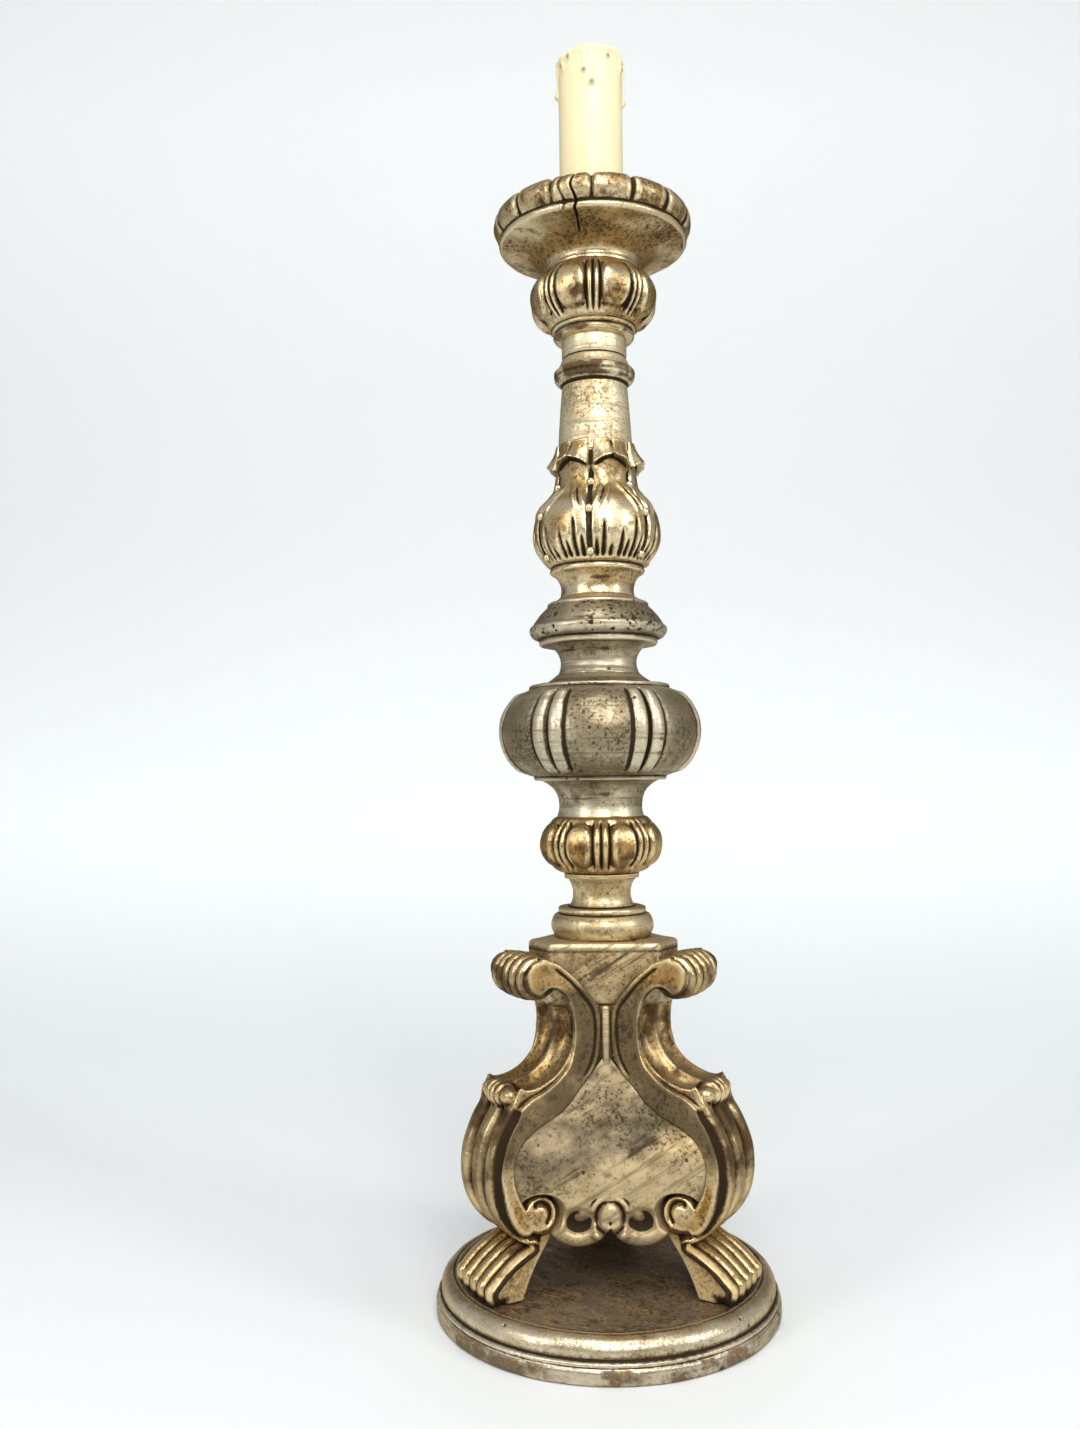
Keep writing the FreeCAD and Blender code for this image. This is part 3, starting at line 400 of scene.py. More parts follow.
def turnedAbout(points, azimuth):
    angle = math.radians(azimuth)
    cosine, sine = math.cos(angle), math.sin(angle)
    return points @ np.array([[cosine, sine, 0], [-sine, cosine, 0], [0, 0, 1]])


# Turned work

def sectionLine(places, step=0.45):
    # (radius, height) corners; a third value is the bow of the arc that ends there
    line = [np.array(places[0][:2], float)]
    for first, last in zip(places, places[1:]):
        start = np.array(first[:2], float)
        run = np.array(last[:2], float) - start
        length = np.hypot(*run)
        half = 2 * math.atan2(2 * last[2], length) if len(last) > 2 else 0
        side = np.array([run[1], -run[0]]) / length
        count = max(int(length * (1 + abs(half) / 3) / step), 1)
        for share in np.arange(1, count + 1) / count:
            if abs(half) < 1e-6:
                line.append(start + run * share)
                continue
            angle = half * (2 * share - 1)
            along = 0.5 + 0.5 * math.sin(angle) / math.sin(half)
            out = (math.cos(angle) - math.cos(half)) / math.sin(half) * length / 2
            line.append(start + run * along + side * out)
    return np.array(line)


def softened(line, rounds=2):
    # rounds the corners a little, as gesso does
    line = line.copy()
    for _ in range(rounds):
        line[1:-1] = (line[:-2] + 2 * line[1:-1] + line[2:]) / 4
    return line


def stepped(base, steps):
    # section places from radii and rises that each start where the last one ended
    height = base
    places = []
    for step in steps:
        height += step[1]
        places.append((step[0], height, *step[2:]))
    return places


def spun(line, segments, closed, dense=None):
    # sweeps a section round the stem's axis; an open section starts and ends on the axis
    # dense is the azimuth where the segments crowd together
    angles = 2 * math.pi * np.arange(segments) / segments
    if dense:
        angles = angles - 0.72 * np.sin(angles - math.radians(dense))
    rings = line if closed else line[1:-1]
    points = np.stack([np.outer(rings[:, 0], np.cos(angles)), np.outer(rings[:, 0], np.sin(angles)),
                       np.repeat(rings[:, 1:], segments, 1)], 2).reshape(-1, 3)
    row = np.arange(len(rings) if closed else len(rings) - 1)[:, None] * segments
    nextRow = (row + segments) % (len(rings) * segments)
    column = np.arange(segments)[None, :]
    beside = (column + 1) % segments
    faces = np.stack([row + column, row + beside, nextRow + beside, nextRow + column], 2).reshape(-1, 4)
    if not closed:
        foot, head = len(points), len(points) + 1
        points = np.concatenate([points, [[0, 0, line[0][1]], [0, 0, line[-1][1]]]])
        first, last = column[0], (len(rings) - 1) * segments + column[0]
        low = np.stack([np.full(segments, foot), beside[0], first, first], 1)
        high = np.stack([np.full(segments, head), last, last[0] + beside[0], last[0] + beside[0]], 1)
        faces = np.concatenate([faces, low, high])
    return points, faces


tenon = {"radius": 8.4, "length": 8.0, "gap": 0.1, "bore": 5.5}
turning = {"stemSegments": 288, "knopSegments": 400, "stemUneven": (0.12, 6.0), "knopUneven": (0.22, 6.0)}


def stemPiece(places, segments, socket=True, dense=None):
    # turned section with a tenon below its foot, a socket in its head and the tube's bore
    line = softened(sectionLine(places))
    foot, head = line[0][1], line[-1][1]
    wide = tenon["radius"] + tenon["gap"]
    floor = head - tenon["length"] - tenon["gap"]
    inside = [(wide, head), (wide, floor)] if socket else []
    inside += [(tenon["bore"], floor if socket else head), (tenon["bore"], foot - tenon["length"])]
    inside += [(tenon["radius"], foot - tenon["length"]), (tenon["radius"], foot)]
    return spun(np.concatenate([line, inside]), segments, True, dense)


def footOf(node):
    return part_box(node)[0].z / mm + tenon["length"]


# Repeated carving on the knops and the pan, as a node tree with its sizes as inputs

def shapeGroup(name, inputs):
    # a geometry tree with named inputs, each with its kind of value
    tree = bpy.data.node_groups.new(name, "GeometryNodeTree")
    face = tree.interface
    for label, kind in (("Geometry", "Geometry"), *inputs, ("Finish", "Material")):
        face.new_socket(label, in_out="INPUT", socket_type="NodeSocket" + kind)
    face.new_socket("Geometry", in_out="OUTPUT", socket_type="NodeSocketGeometry")
    return tree, place(tree, "NodeGroupInput").outputs


def closeGroup(tree, shape, finish):
    whole = place(tree, "GeometryNodeRealizeInstances", {0: shape}).outputs[0]
    smooth = place(tree, "GeometryNodeSetShadeSmooth", {0: whole}).outputs[0]
    done = place(tree, "GeometryNodeSetMaterial", {"Geometry": smooth, "Material": finish}).outputs[0]
    place(tree, "NodeGroupOutput", {0: done})


def grown(mesh, tree, values):
    # runs a geometry tree on a mesh and gives the plain mesh that it makes
    holder = added(mesh.name, mesh)
    modifier = holder.modifiers.new(tree.name, "NODES")
    modifier.node_group = tree
    for item in tree.interface.items_tree:
        if item.in_out == "INPUT" and item.name in values:
            modifier[item.identifier] = values[item.name]
    result = bpy.data.meshes.new_from_object(holder.evaluated_get(bpy.context.evaluated_depsgraph_get()))
    holder.modifiers.remove(modifier)
    bpy.data.objects.remove(holder)
    return result


lobeLengths = ("Lobe Rise", "Strip Rise", "Groove", "Mid Groove", "Groove Width", "Low", "High", "Fade",
               "Inner")


def lobeTree():
    labels = ("Count", "Turn", "Strip Angle", "Oval", *lobeLengths)
    tree, given = shapeGroup("lobeCarving", [(label, "Float") for label in labels])
    position = place(tree, "GeometryNodeInputPosition").outputs[0]
    spot = place(tree, "ShaderNodeSeparateXYZ", {0: position}).outputs
    radius = calc(tree, "SQRT", plus(tree, times(tree, spot[0], spot[0]), times(tree, spot[1], spot[1])))
    azimuth = minus(tree, calc(tree, "ARCTAN2", spot[1], spot[0]), given["Turn"])
    pitch = calc(tree, "DIVIDE", 2 * math.pi, given["Count"])
    turns = calc(tree, "DIVIDE", azimuth, pitch)
    offset = calc(tree, "ABSOLUTE", minus(tree, turns, calc(tree, "ROUND", turns)))
    angle = times(tree, offset, pitch)  # from the middle of the nearest strip
    past = minus(tree, angle, given["Strip Angle"])
    room = minus(tree, times(tree, pitch, 0.5), given["Strip Angle"])

    # oval pillow: across counts from the lobe's middle line, along from its middle height
    across = larger(tree, minus(tree, 1.0, calc(tree, "DIVIDE", past, room)), 0.0)
    tall = times(tree, minus(tree, given["High"], given["Low"]), 0.5)
    middle = times(tree, plus(tree, given["High"], given["Low"]), 0.5)
    along = calc(tree, "ABSOLUTE", calc(tree, "DIVIDE", minus(tree, spot[2], middle), tall))
    along = times(tree, along, given["Oval"])
    reach = plus(tree, calc(tree, "POWER", across, 3.0), calc(tree, "POWER", along, 3.0))
    inLobe = spread(tree, reach, 1.0, 0.3)
    sockets = {"Value": angle, "From Min": 0.0, "From Max": given["Strip Angle"], "To Max": math.pi}
    inStrip = place(tree, "ShaderNodeMapRange", sockets).outputs[0]
    reed = calc(tree, "POWER", larger(tree, calc(tree, "SINE", inStrip), 0.0), 0.7)
    grooves = []
    for distance, depth in ((past, given["Groove"]), (angle, given["Mid Groove"])):
        aside = calc(tree, "DIVIDE", times(tree, distance, radius), given["Groove Width"])
        hollow = calc(tree, "EXPONENT", times(tree, aside, aside, -1.0))
        grooves.append(times(tree, hollow, depth))
    rise = plus(tree, times(tree, inLobe, given["Lobe Rise"]), times(tree, reed, given["Strip Rise"]))
    rise = minus(tree, rise, larger(tree, *grooves), given["Lobe Rise"])
    fromLow = spread(tree, minus(tree, spot[2], given["Low"]), 0.0, given["Fade"])
    fromHigh = spread(tree, minus(tree, given["High"], spot[2]), 0.0, given["Fade"])
    window = times(tree, fromLow, fromHigh, calc(tree, "GREATER_THAN", radius, given["Inner"]))
    normal = place(tree, "GeometryNodeInputNormal").outputs[0]
    sockets = {0: normal, "Scale": times(tree, rise, window)}
    push = place(tree, "ShaderNodeVectorMath", sockets, operation="SCALE")
    moved = place(tree, "GeometryNodeSetPosition", {"Geometry": given["Geometry"], "Offset": push.outputs[0]})
    closeGroup(tree, moved.outputs[0], given["Finish"])
    return tree


lobeCarving = lobeTree()


def carveLobes(points, faces, finish, sizes):
    # runs the lobe tree on a turned mesh and reads the carved points back, in mm
    mesh = bpy.data.meshes.new("turned")
    mesh.from_pydata((points * mm).tolist(), [], faces.tolist())
    values = {label: float(size) for label, size in sizes.items()}
    shaped = grown(mesh, lobeCarving, {**values, "Finish": finish})
    places = np.zeros(len(shaped.vertices) * 3)
    shaped.vertices.foreach_get("co", places)
    bpy.data.meshes.remove(shaped)
    return places.reshape(-1, 3) / mm


# Carved work: a field of distances, negative in the wood, and a skin over it

def meld(first, second, soft):
    share = np.clip(0.5 + 0.5 * (second - first) / soft, 0, 1)
    return second + (first - second) * share - soft * share * (1 - share)


def carved(body, tool, soft):
    return -meld(-body, tool, soft)


def segmentGap(across, up, start, run, rise):
    # squared distance in a plane to a straight line with that run and rise
    share = ((across - start[0]) * run + (up - start[1]) * rise) / (run * run + rise * rise + 1e-12)
    share = np.clip(share, 0, 1)
    return (across - start[0] - share * run) ** 2 + (up - start[1] - share * rise) ** 2


def pathField(across, up, line):
    # distance in a plane to an open line
    best = np.full(across.shape, 1e9)
    for start, end in zip(line[:-1], line[1:]):
        best = np.minimum(best, segmentGap(across, up, start, *(end - start)))
    return np.sqrt(best)


def outlineField(across, up, outline):
    # signed distance in a plane to a closed outline, negative inside it
    ring = np.concatenate([outline, outline[:1]])
    inside = np.zeros(across.shape, bool)
    for start, end in zip(ring[:-1], ring[1:]):
        run, rise = end - start
        if rise:
            crossing = (start[1] > up) != (end[1] > up)
            inside ^= crossing & (across < start[0] + (up - start[1]) * run / rise)
    return np.where(inside, -1, 1) * pathField(across, up, ring)


def flowing(places, closed=True, steps=8):
    # smooth curve through given places
    places = np.array(places, float)
    if closed:
        ring = np.concatenate([places[-1:], places, places[:2]])
    else:
        ring = np.concatenate([2 * places[:1] - places[1:2], places, 2 * places[-1:] - places[-2:-1]])
    line = []
    for before, first, last, after in zip(ring, ring[1:], ring[2:], ring[3:]):
        for share in np.arange(steps) / steps:
            line.append(0.5 * (2 * first + (last - before) * share
                               + (2 * before - 5 * first + 4 * last - after) * share ** 2
                               + (3 * first - before - 3 * last + after) * share ** 3))
    if not closed:
        line.append(places[-1])
    return np.array(line)


def arcLine(centre, radius, start, end, count=40):
    angles = np.radians(np.linspace(start, end, count))
    return np.stack([centre[0] + radius * np.cos(angles), centre[1] + radius * np.sin(angles)], 1)


def gridLines(low, high, step):
    return [np.arange(low[axis], high[axis] + step, step) for axis in range(3)]


def sampled(grid, cells):
    # values of a grid between its points
    base = np.clip(np.floor(cells).astype(int), 0, np.array(grid.shape) - 2)
    return blended(base, cells - base, lambda corners: grid[tuple(corners.T)])


def skin(field, low, step):
    # closed quad mesh over the field's zero level: one point per cell that the surface crosses
    inside = field < 0
    size = np.array(field.shape) - 1
    corners = list(np.ndindex(2, 2, 2))
    filled = sum(inside[i:i + size[0], j:j + size[1], k:k + size[2]].astype(np.int8) for i, j, k in corners)
    cells = np.argwhere((filled > 0) & (filled < 8))
    numbers = np.full(size, -1)
    numbers[tuple(cells.T)] = np.arange(len(cells))
    values = {corner: field[tuple((cells + corner).T)] for corner in corners}
    total = np.zeros((len(cells), 3))
    hits = np.zeros(len(cells))
    for corner in corners:
        for axis in range(3):
            if corner[axis]:
                continue
            other = tuple(1 if index == axis else corner[index] for index in range(3))
            here, there = values[corner], values[other]
            cut = (here < 0) != (there < 0)
            spot = np.tile(np.array(corner, float), (len(cells), 1))
            spot[:, axis] = here / np.where(cut, here - there, 1)
            total += np.where(cut[:, None], spot, 0)
            hits += cut
    spots = cells + total / hits[:, None]
    slopes = np.gradient(field)
    for _ in range(3):
        height = sampled(field, spots)
        slope = np.stack([sampled(grid, spots) for grid in slopes], 1)
        move = slope * (height / np.maximum((slope ** 2).sum(1), 1e-9))[:, None]
        spots = spots - np.clip(move, -0.4, 0.4)
    faces = []
    for axis in range(3):
        u, v = (axis + 1) % 3, (axis + 2) % 3
        near = np.take(inside, range(size[axis]), axis)
        far = np.take(inside, range(1, size[axis] + 1), axis)
        for first, last, order in ((near, far, 1), (far, near, -1)):
            edges = np.argwhere(first & ~last)
            keep = (edges[:, u] > 0) & (edges[:, v] > 0) & (edges[:, u] < size[u]) & (edges[:, v] < size[v])
            edges = edges[keep]
            quad = []
            for du, dv in ((-1, -1), (0, -1), (0, 0), (-1, 0)):
                cell = edges.copy()
                cell[:, u] += du
                cell[:, v] += dv
                quad.append(numbers[tuple(cell.T)])
            faces.append(np.stack(quad, 1)[:, ::order])
    return spots * step + np.array(low), np.concatenate(faces)


# Plinth

plinthLook = {
    "radius": 69.8, "bandTop": 6.0, "edge": 0.9, "ridge": 69.0, "torusFoot": 67.6, "torusHead": 62.6,
    "torusBow": 1.9, "bead": 1.7, "beadRise": 0.7, "floor": 15.5, "segments": 340, "step": 0.55,
    "uneven": (0.16, 9.0),
}


def makePlinth(look):
    rim, edge, bandTop, floor = look["radius"], look["edge"], look["bandTop"], look["floor"]
    ridge, torusFoot, torusHead = look["ridge"], look["torusFoot"], look["torusHead"]
    beadInner = torusHead - look["bead"]
    places = [
        (0, 0), (rim - edge, 0), (rim, edge, 0.25), (rim, bandTop - edge), (rim - edge, bandTop, 0.25),
        (ridge - 0.5, bandTop + 0.1), (ridge, bandTop + 0.6, 0.2), (ridge - 0.3, bandTop + 1.9, 0.3),
        (torusFoot - 0.7, bandTop + 2.2), (torusFoot, bandTop + 2.9), (torusHead, floor, look["torusBow"]),
        (torusHead - 0.2, floor - 0.8), (beadInner, floor - 0.2, look["beadRise"]),
        (beadInner - 0.8, floor - 0.5), (0, floor - 0.3),
    ]
    points, faces = spun(softened(sectionLine(places, look["step"])), look["segments"], False)
    points = handWorked(points, faces, *look["uneven"], 3)
    points[:, 2] = np.maximum(points[:, 2], 0)
    radius, up = radii(points), points[:, 2]
    patchy = wobble(points, 11.0, 4)
    band = fall(up, bandTop - 0.5, bandTop + 0.5)
    top = up > floor - 2
    disc = fall(radius, beadInner - 2.4, beadInner - 0.6) * top
    # painted shade under the torus's overhang; dirt and painted shade in the groove beside the bead
    shadeUnderTorus = bell(up - bandTop - 2.3, 0.8) * (radius > torusHead)
    shadeBesideBead = bell(radius - torusHead, 0.8) * top
    masks = {
        "bare": np.maximum(0.85 * disc, (0.48 + 0.5 * patchy) * band + (0.06 + 0.5 * patchy) * (1 - band)),
        "proud": 0.3 * band * (up > 0.5) + 0.7 * np.clip(-patchy, 0, 1) * (1 - band) * (1 - disc),
        "warm": 0.4 * ease(up, bandTop + 2, bandTop + 4) * (1 - disc),
        "grey": 0.38 * band + 0.1 * (1 - band) * (1 - disc),
        "hollow": 0.5 * np.maximum(shadeUnderTorus, shadeBesideBead),
    }
    dress("worn_plinth", points, faces, plinthFinish, ["plinth"], masks=masks)


makePlinth(plinthLook)


# Scroll legs

legLook = {
    "grid": ((8.0, -21.0, 14.0), (64.4, 21.0, 148.0)), "step": 0.6, "uneven": (0.22, 7.0),
    "halfWidth": 16.5, "webHalf": 14.3, "footHalf": 13.4, "toeHalf": 16.2,
    "azimuths": {"leg_left": 210.0, "leg_right": 330.0, "leg_back": 90.0},
    "side": [  # the leg's side view: distance from the stem's axis, height, bow
        (11.0, 40.0), (31.0, 40.0), (46.0, 15.5, -1.6), (60.1, 15.5), (62.2, 20.7, 0.6), (60.1, 24.3, 0.6),
        (43.4, 35.2, 1.1), (60.2, 63.0, 4.9), (52.3, 85.4, 2.0), (46.6, 96.2), (33.4, 132.9, -15.7),
        (37.4, 135.4), (37.4, 144.4), (11.0, 124.0, 2.6), (11.0, 40.0)],
    "band": [  # flat strip on the side: down its outer edge and back up its inner edge
        (37.2, 146.0), (42.6, 143.4), (44.6, 138.2), (43.0, 132.4), (38.6, 129.8), (33.8, 132.4),
        (28.2, 130.2), (25.0, 125.0), (23.4, 115.0), (25.2, 104.5), (29.7, 98.6), (36.4, 94.0), (43.6, 91.0),
        (49.0, 87.0), (52.6, 81.0), (56.0, 71.5), (56.9, 64.7), (55.9, 54.0), (53.4, 46.7), (49.6, 41.6),
        (45.2, 41.0), (44.2, 46.0), (47.6, 52.5), (50.3, 59.0), (51.0, 65.0), (49.8, 70.0), (46.4, 75.4),
        (41.2, 79.0), (32.5, 82.6), (25.9, 87.0), (21.4, 92.0), (16.4, 97.6), (13.3, 103.7), (12.1, 110.7),
        (12.0, 118.5), (13.4, 124.5), (17.5, 130.0), (23.4, 136.4), (30.7, 142.4)],
    "innerPlaces": 13,  # the last places of the band, which run up its inner edge
    "curl": {"centre": (41.2, 48.2), "radius": 7.2, "proud": 19.2, "groove": 2.0, "path": 4.3, "from": 65.0,
             "to": 225.0},
    "scroll": (44.0, 116.0, 20.0),  # middle and radius of the C-scroll's hollow
    "channel": {"radius": 7.2, "depth": 4.4, "offset": 7.9, "start": 132.0, "end": 267.0},
    "volute": {"centre": (37.6, 136.2), "end": 7.5, "middle": 9.3, "rings": 5, "cut": 1.9, "half": 13.5},
    "knee": {"centre": (48.8, 91.6), "end": 3.4, "middle": 5.2, "rings": 4, "cut": 1.2, "half": 6.6},
    "reed": {"inner": 5.5, "outer": 15.1, "wide": 1.5, "depth": 3.4, "edge": 2.8, "crown": 1.1},
    "toe": {"pitch": 6.2, "depth": 2.4, "crown": 1.0},
    "toeLine": [(43.4, 35.2), (52.0, 31.2), (60.1, 24.3), (62.2, 20.7), (60.1, 15.5)],
    "heel": {"out": 54.0, "up": 15.5, "lean": (0.78, 0.62)},
}


def reedDepth(across, pitch, depth):
    # zero on the crown of each reed and deep in the narrow grooves between them
    offset = across / pitch - np.round(across / pitch)
    return depth * np.abs(2 * offset) ** 3


def broadReeds(across, look):
    # depth below the outline: three rounded reeds with a groove on either side of each
    aside = abs(across)
    middle = (look["inner"] + look["outer"]) / 2
    bend = aside / look["inner"] if aside < look["inner"] else (aside - middle) / (middle - look["inner"])
    inner = math.exp(-((aside - look["inner"]) / look["wide"]) ** 2)
    outer = math.exp(-((aside - look["outer"]) / look["wide"]) ** 2)
    return look["depth"] * inner + look["edge"] * outer + look["crown"] * min(bend * bend, 1.4)


def ringedBar(reach, across, look):
    # bar of rings that lies across the leg, fattest in the middle, with plain ends
    half = look["half"]
    if abs(across) > half:
        return np.hypot(reach, 0.6 * (abs(across) - half)) - look["end"]
    fat = math.cos(across / half * math.pi / 2) ** 0.5
    ring = across / (2 * half) * look["rings"] + (0.5 if look["rings"] % 2 == 0 else 0)
    offset = ring - round(ring)
    seat = 1.2 * math.exp(-((abs(across) - half) / 0.8) ** 2)  # dark line behind the plain end
    gap = reach - look["end"] - (look["middle"] - look["end"]) * fat
    return gap + look["cut"] * abs(2 * offset) ** 2.5 + seat


def pastHeel(out, up, heel):
    # one on the toes, zero behind the slanted line that parts them from the heel
    leanOut, leanUp = heel["lean"]
    return ease((out - heel["out"]) * leanOut + (up - heel["up"]) * leanUp, -2, 2)


def legMasks(points, inBand, look, seed):
    # where the leg's finish is grey, warm, worn through, bright (in part a painted highlight), dark with dirt
    # and painted shade, or clean
    out, sides, up = points[:, 0], np.abs(points[:, 1]), points[:, 2]
    patchy = wobble(points, 8.0, 30 + seed)
    flat = fall(inBand, -1.0, 0.2) * ease(sides, 15.4, 16.2)  # the strip on the side
    swell = ease(up, 38, 41) * fall(up, 86, 90) * ease(out, 42, 47) * (1 - flat)  # the reeded bulge
    trough = fall(np.hypot(out - look["scroll"][0], up - look["scroll"][1]), 23, 27) * (1 - flat)
    foot = fall(up, 35, 38)
    toes = foot * pastHeel(out, up, look["heel"])
    footSide = foot * ease(sides, 12.2, 12.9) * fall(sides, 14.2, 14.8)
    reed = look["reed"]
    groove = bell(sides - reed["inner"], 1.8)
    groove = np.maximum(groove, ease(sides, reed["outer"] - 2.6, reed["outer"] - 1.0)) * swell
    toeLine = sides / look["toe"]["pitch"]
    toeGroove = ease(np.abs(toeLine - np.round(toeLine)), 0.3, 0.47) * toes
    shade = 0.8 * fall(up, 17.0, 20.5) * toes  # painted shade where the toes meet the plinth
    lower = fall(up, 50, 66)  # the bulge is brighter low down: a painted highlight, less wear and less dirt there
    volute = look["volute"]
    reach = np.hypot(out - volute["centre"][0], up - volute["centre"][1])
    disc = fall(reach, 7.4, 8.4) * ease(sides, 14.8, 15.6)
    outline = bell(reach - 7.9, 0.8) * ease(sides, 13.4, 14.4) * ease(out - up, -102, -98)
    behind = bell(sides - volute["half"], 0.8) * fall(reach, 10, 11)
    # dark lines in the grooves and round the volute are dirt and painted shade, with painted shade where the
    # toes meet the plinth
    grimeAndShade = np.maximum.reduce([groove, toeGroove, shade, outline, behind])
    return {
        "grey": np.maximum((0.85 + 0.25 * patchy) * flat * ease(up, 52, 76) * fall(up, 126, 140),
                           (0.6 - 0.4 * lower + 0.3 * patchy) * swell + 0.42 * trough + 0.35 * disc),
        "warm": np.maximum(0.4 * toes, 0.12 * trough + 0.25 * disc),
        "bare": np.maximum(swell * (0.08 + 0.4 * (1 - lower) + 0.3 * patchy) + toes * (0.2 + 0.25 * patchy),
                           trough * (0.3 + 0.2 * ease(up, 100, 116) + 0.3 * patchy)),
        "proud": 0.62 * swell * lower * (1 - groove) * (0.7 + 0.5 * patchy) + 0.5 * footSide,
        "hollow": np.maximum((0.76 + 0.25 * patchy) * grimeAndShade,
                             0.4 * swell * (1 - lower) * np.clip(patchy + 0.3, 0, 1)),
        "matt": np.maximum(0.9 * footSide, 0.4 * disc),
        "clean": footSide,
    }


def makeLegs(look):
    step = look["step"]
    low, high = look["grid"]
    out, across, up = gridLines(low, high, step)
    flatOut, flatUp = np.meshgrid(out, up, indexing="ij")
    side = outlineField(flatOut, flatUp, sectionLine(look["side"], 1.2)[:-1])
    band = outlineField(flatOut, flatUp, flowing(look["band"]))
    curl = look["curl"]
    curlOut, curlUp = curl["centre"]
    band = meld(band, np.hypot(flatOut - curlOut, flatUp - curlUp) - curl["radius"], 1.0)

    # where each kind of carving lies on the side view
    bulge = ease(flatUp, 36.5, 39.5) * fall(flatUp, 86, 90) * ease(flatOut, 40, 46)
    foot = fall(flatUp, 35.5, 38.5) * pastHeel(flatOut, flatUp, look["heel"])

    # the side's relief: flat band, raised rim along its inner edge, spiral groove on the curl
    innerRim = pathField(flatOut, flatUp, flowing(look["band"][-look["innerPlaces"]:], closed=False))
    groove = pathField(flatOut, flatUp, arcLine(curl["centre"], curl["path"], curl["from"], curl["to"]))
    half = look["webHalf"] + (look["halfWidth"] - look["webHalf"]) * fall(band, -0.7, 0.3)
    half += 1.4 * bell(innerRim - 1.0, 0.9) * ease(flatUp, 92, 100) * (band < 1)
    rolled = fall(flatUp, 48, 72) * ease(flatUp, 38.5, 41) * fall(band, -0.9, 0.3)
    half += (curl["proud"] - look["halfWidth"]) * rolled
    half -= curl["groove"] * bell(groove, 0.95)
    lip = fall(pathField(flatOut, flatUp, np.array(look["toeLine"])), 3.0, 4.2)
    footSide = look["footHalf"] + (look["toeHalf"] - look["footHalf"]) * lip
    lowZone = fall(flatUp, 38.5, 40.5) * ease(band, -0.6, 0.8)
    half = half + (footSide - half) * lowZone

    field = np.empty((len(out), len(across), len(up)))
    channel = look["channel"]
    scrollOut, scrollUp, scrollRadius = look["scroll"]
    trench = arcLine((scrollOut, scrollUp), scrollRadius + channel["depth"] - channel["radius"],
                     channel["start"], channel["end"])
    trenchReach = pathField(flatOut, flatUp, trench)
    voluteReach = np.hypot(flatOut - look["volute"]["centre"][0], flatUp - look["volute"]["centre"][1])
    kneeReach = np.hypot(flatOut - look["knee"]["centre"][0], flatUp - look["knee"]["centre"][1])
    for index, offset in enumerate(across):
        reed = broadReeds(offset, look["reed"])
        toe = reedDepth(offset, look["toe"]["pitch"], look["toe"]["depth"])
        toe += look["toe"]["crown"] * abs(offset / look["halfWidth"]) ** 2.2
        layer = side + reed * bulge + toe * foot
        cut = np.hypot(trenchReach, abs(offset) - channel["offset"]) - channel["radius"]
        layer = carved(layer, cut, 0.7)
        layer = meld(layer, ringedBar(voluteReach, offset, look["volute"]), 1.2)
        layer = meld(layer, ringedBar(kneeReach, offset, look["knee"]), 1.2)
        field[:, index, :] = -meld(-layer, half - abs(offset), 0.9)
    points, faces = skin(field, low, step)
    cells = np.stack([(points[:, 0] - low[0]) / step, (points[:, 2] - low[2]) / step], 1)
    for seed, (node, azimuth) in enumerate(look["azimuths"].items()):
        worked = handWorked(points, faces, *look["uneven"], 20 + seed)
        worked[:, 2] = np.maximum(worked[:, 2], plinthLook["floor"] - 0.3)
        masks = legMasks(points, sampled(band, cells), look, seed)
        dress("carved_" + node, turnedAbout(worked, azimuth), faces, giltFinish, [node],
              masks=masks)


makeLegs(legLook)


# Panels between the legs

panelLook = {
    "grid": ((18.6, -40.0, 32.4), (45.0, 40.0, 105.6)), "step": 0.6, "uneven": (0.25, 8.0),
    "edge": 14.4, "back": 19.8,
    "azimuths": {"panel_front": 270.0, "panel_right": 30.0, "panel_left": 150.0},
    "front": [(33.0, 34.0), (36.0, 44.0), (38.6, 54.0), (39.6, 64.0), (38.4, 72.5), (34.8, 79.0),
              (30.4, 83.0), (26.8, 88.0), (23.8, 95.0), (20.6, 104.0)],
    "bud": {"up": 47.2, "wide": 4.3, "tall": 6.0, "proud": 3.0, "tail": 8.5, "tailProud": 1.6, "moat": 1.4},
    "hood": {"rise": 0.6, "radius": 6.9, "proud": 1.5, "start": 20.0, "end": 160.0},
    "berry": {"aside": 4.6, "up": 40.4, "radius": 2.3, "proud": 1.8},
    "pit": {"aside": 12.0, "up": 45.2, "radius": 4.4, "depth": 2.6},
    "lip": {"radius": 7.2, "roll": 2.7, "start": 195.0, "end": 345.0, "stretch": 1.2, "proud": 1.7,
            "eye": 1.9},
    "ogive": {"top": 105.6, "lean": 1.15, "shoulder": 95.0, "shoulderLean": 0.45},
}


def panelMasks(points, look, seed):
    # grimy above a line that rises to one side, rubbed pale below it
    aside, up = points[:, 1], points[:, 2]
    patchy = wobble(points, 12.0, seed)
    slope = up - 0.3 * aside + 3 * patchy
    streak = bell(slope - 71, 5) + 0.6 * bell(slope - 84, 4)
    inward = (np.abs(aside) - look["pit"]["aside"]) / look["lip"]["stretch"]
    pit = np.hypot(inward, up - look["pit"]["up"] - 0.4)
    return {
        "grey": (0.7 + 0.3 * patchy) * ease(slope, 62, 76),
        "bare": 0.42 * streak * (0.75 + 0.6 * patchy),
        "proud": 0.55 * fall(slope, 56, 66) * (0.8 + 0.5 * patchy),
        "hollow": 0.3 * fall(pit, 3.4, 4.8),
    }


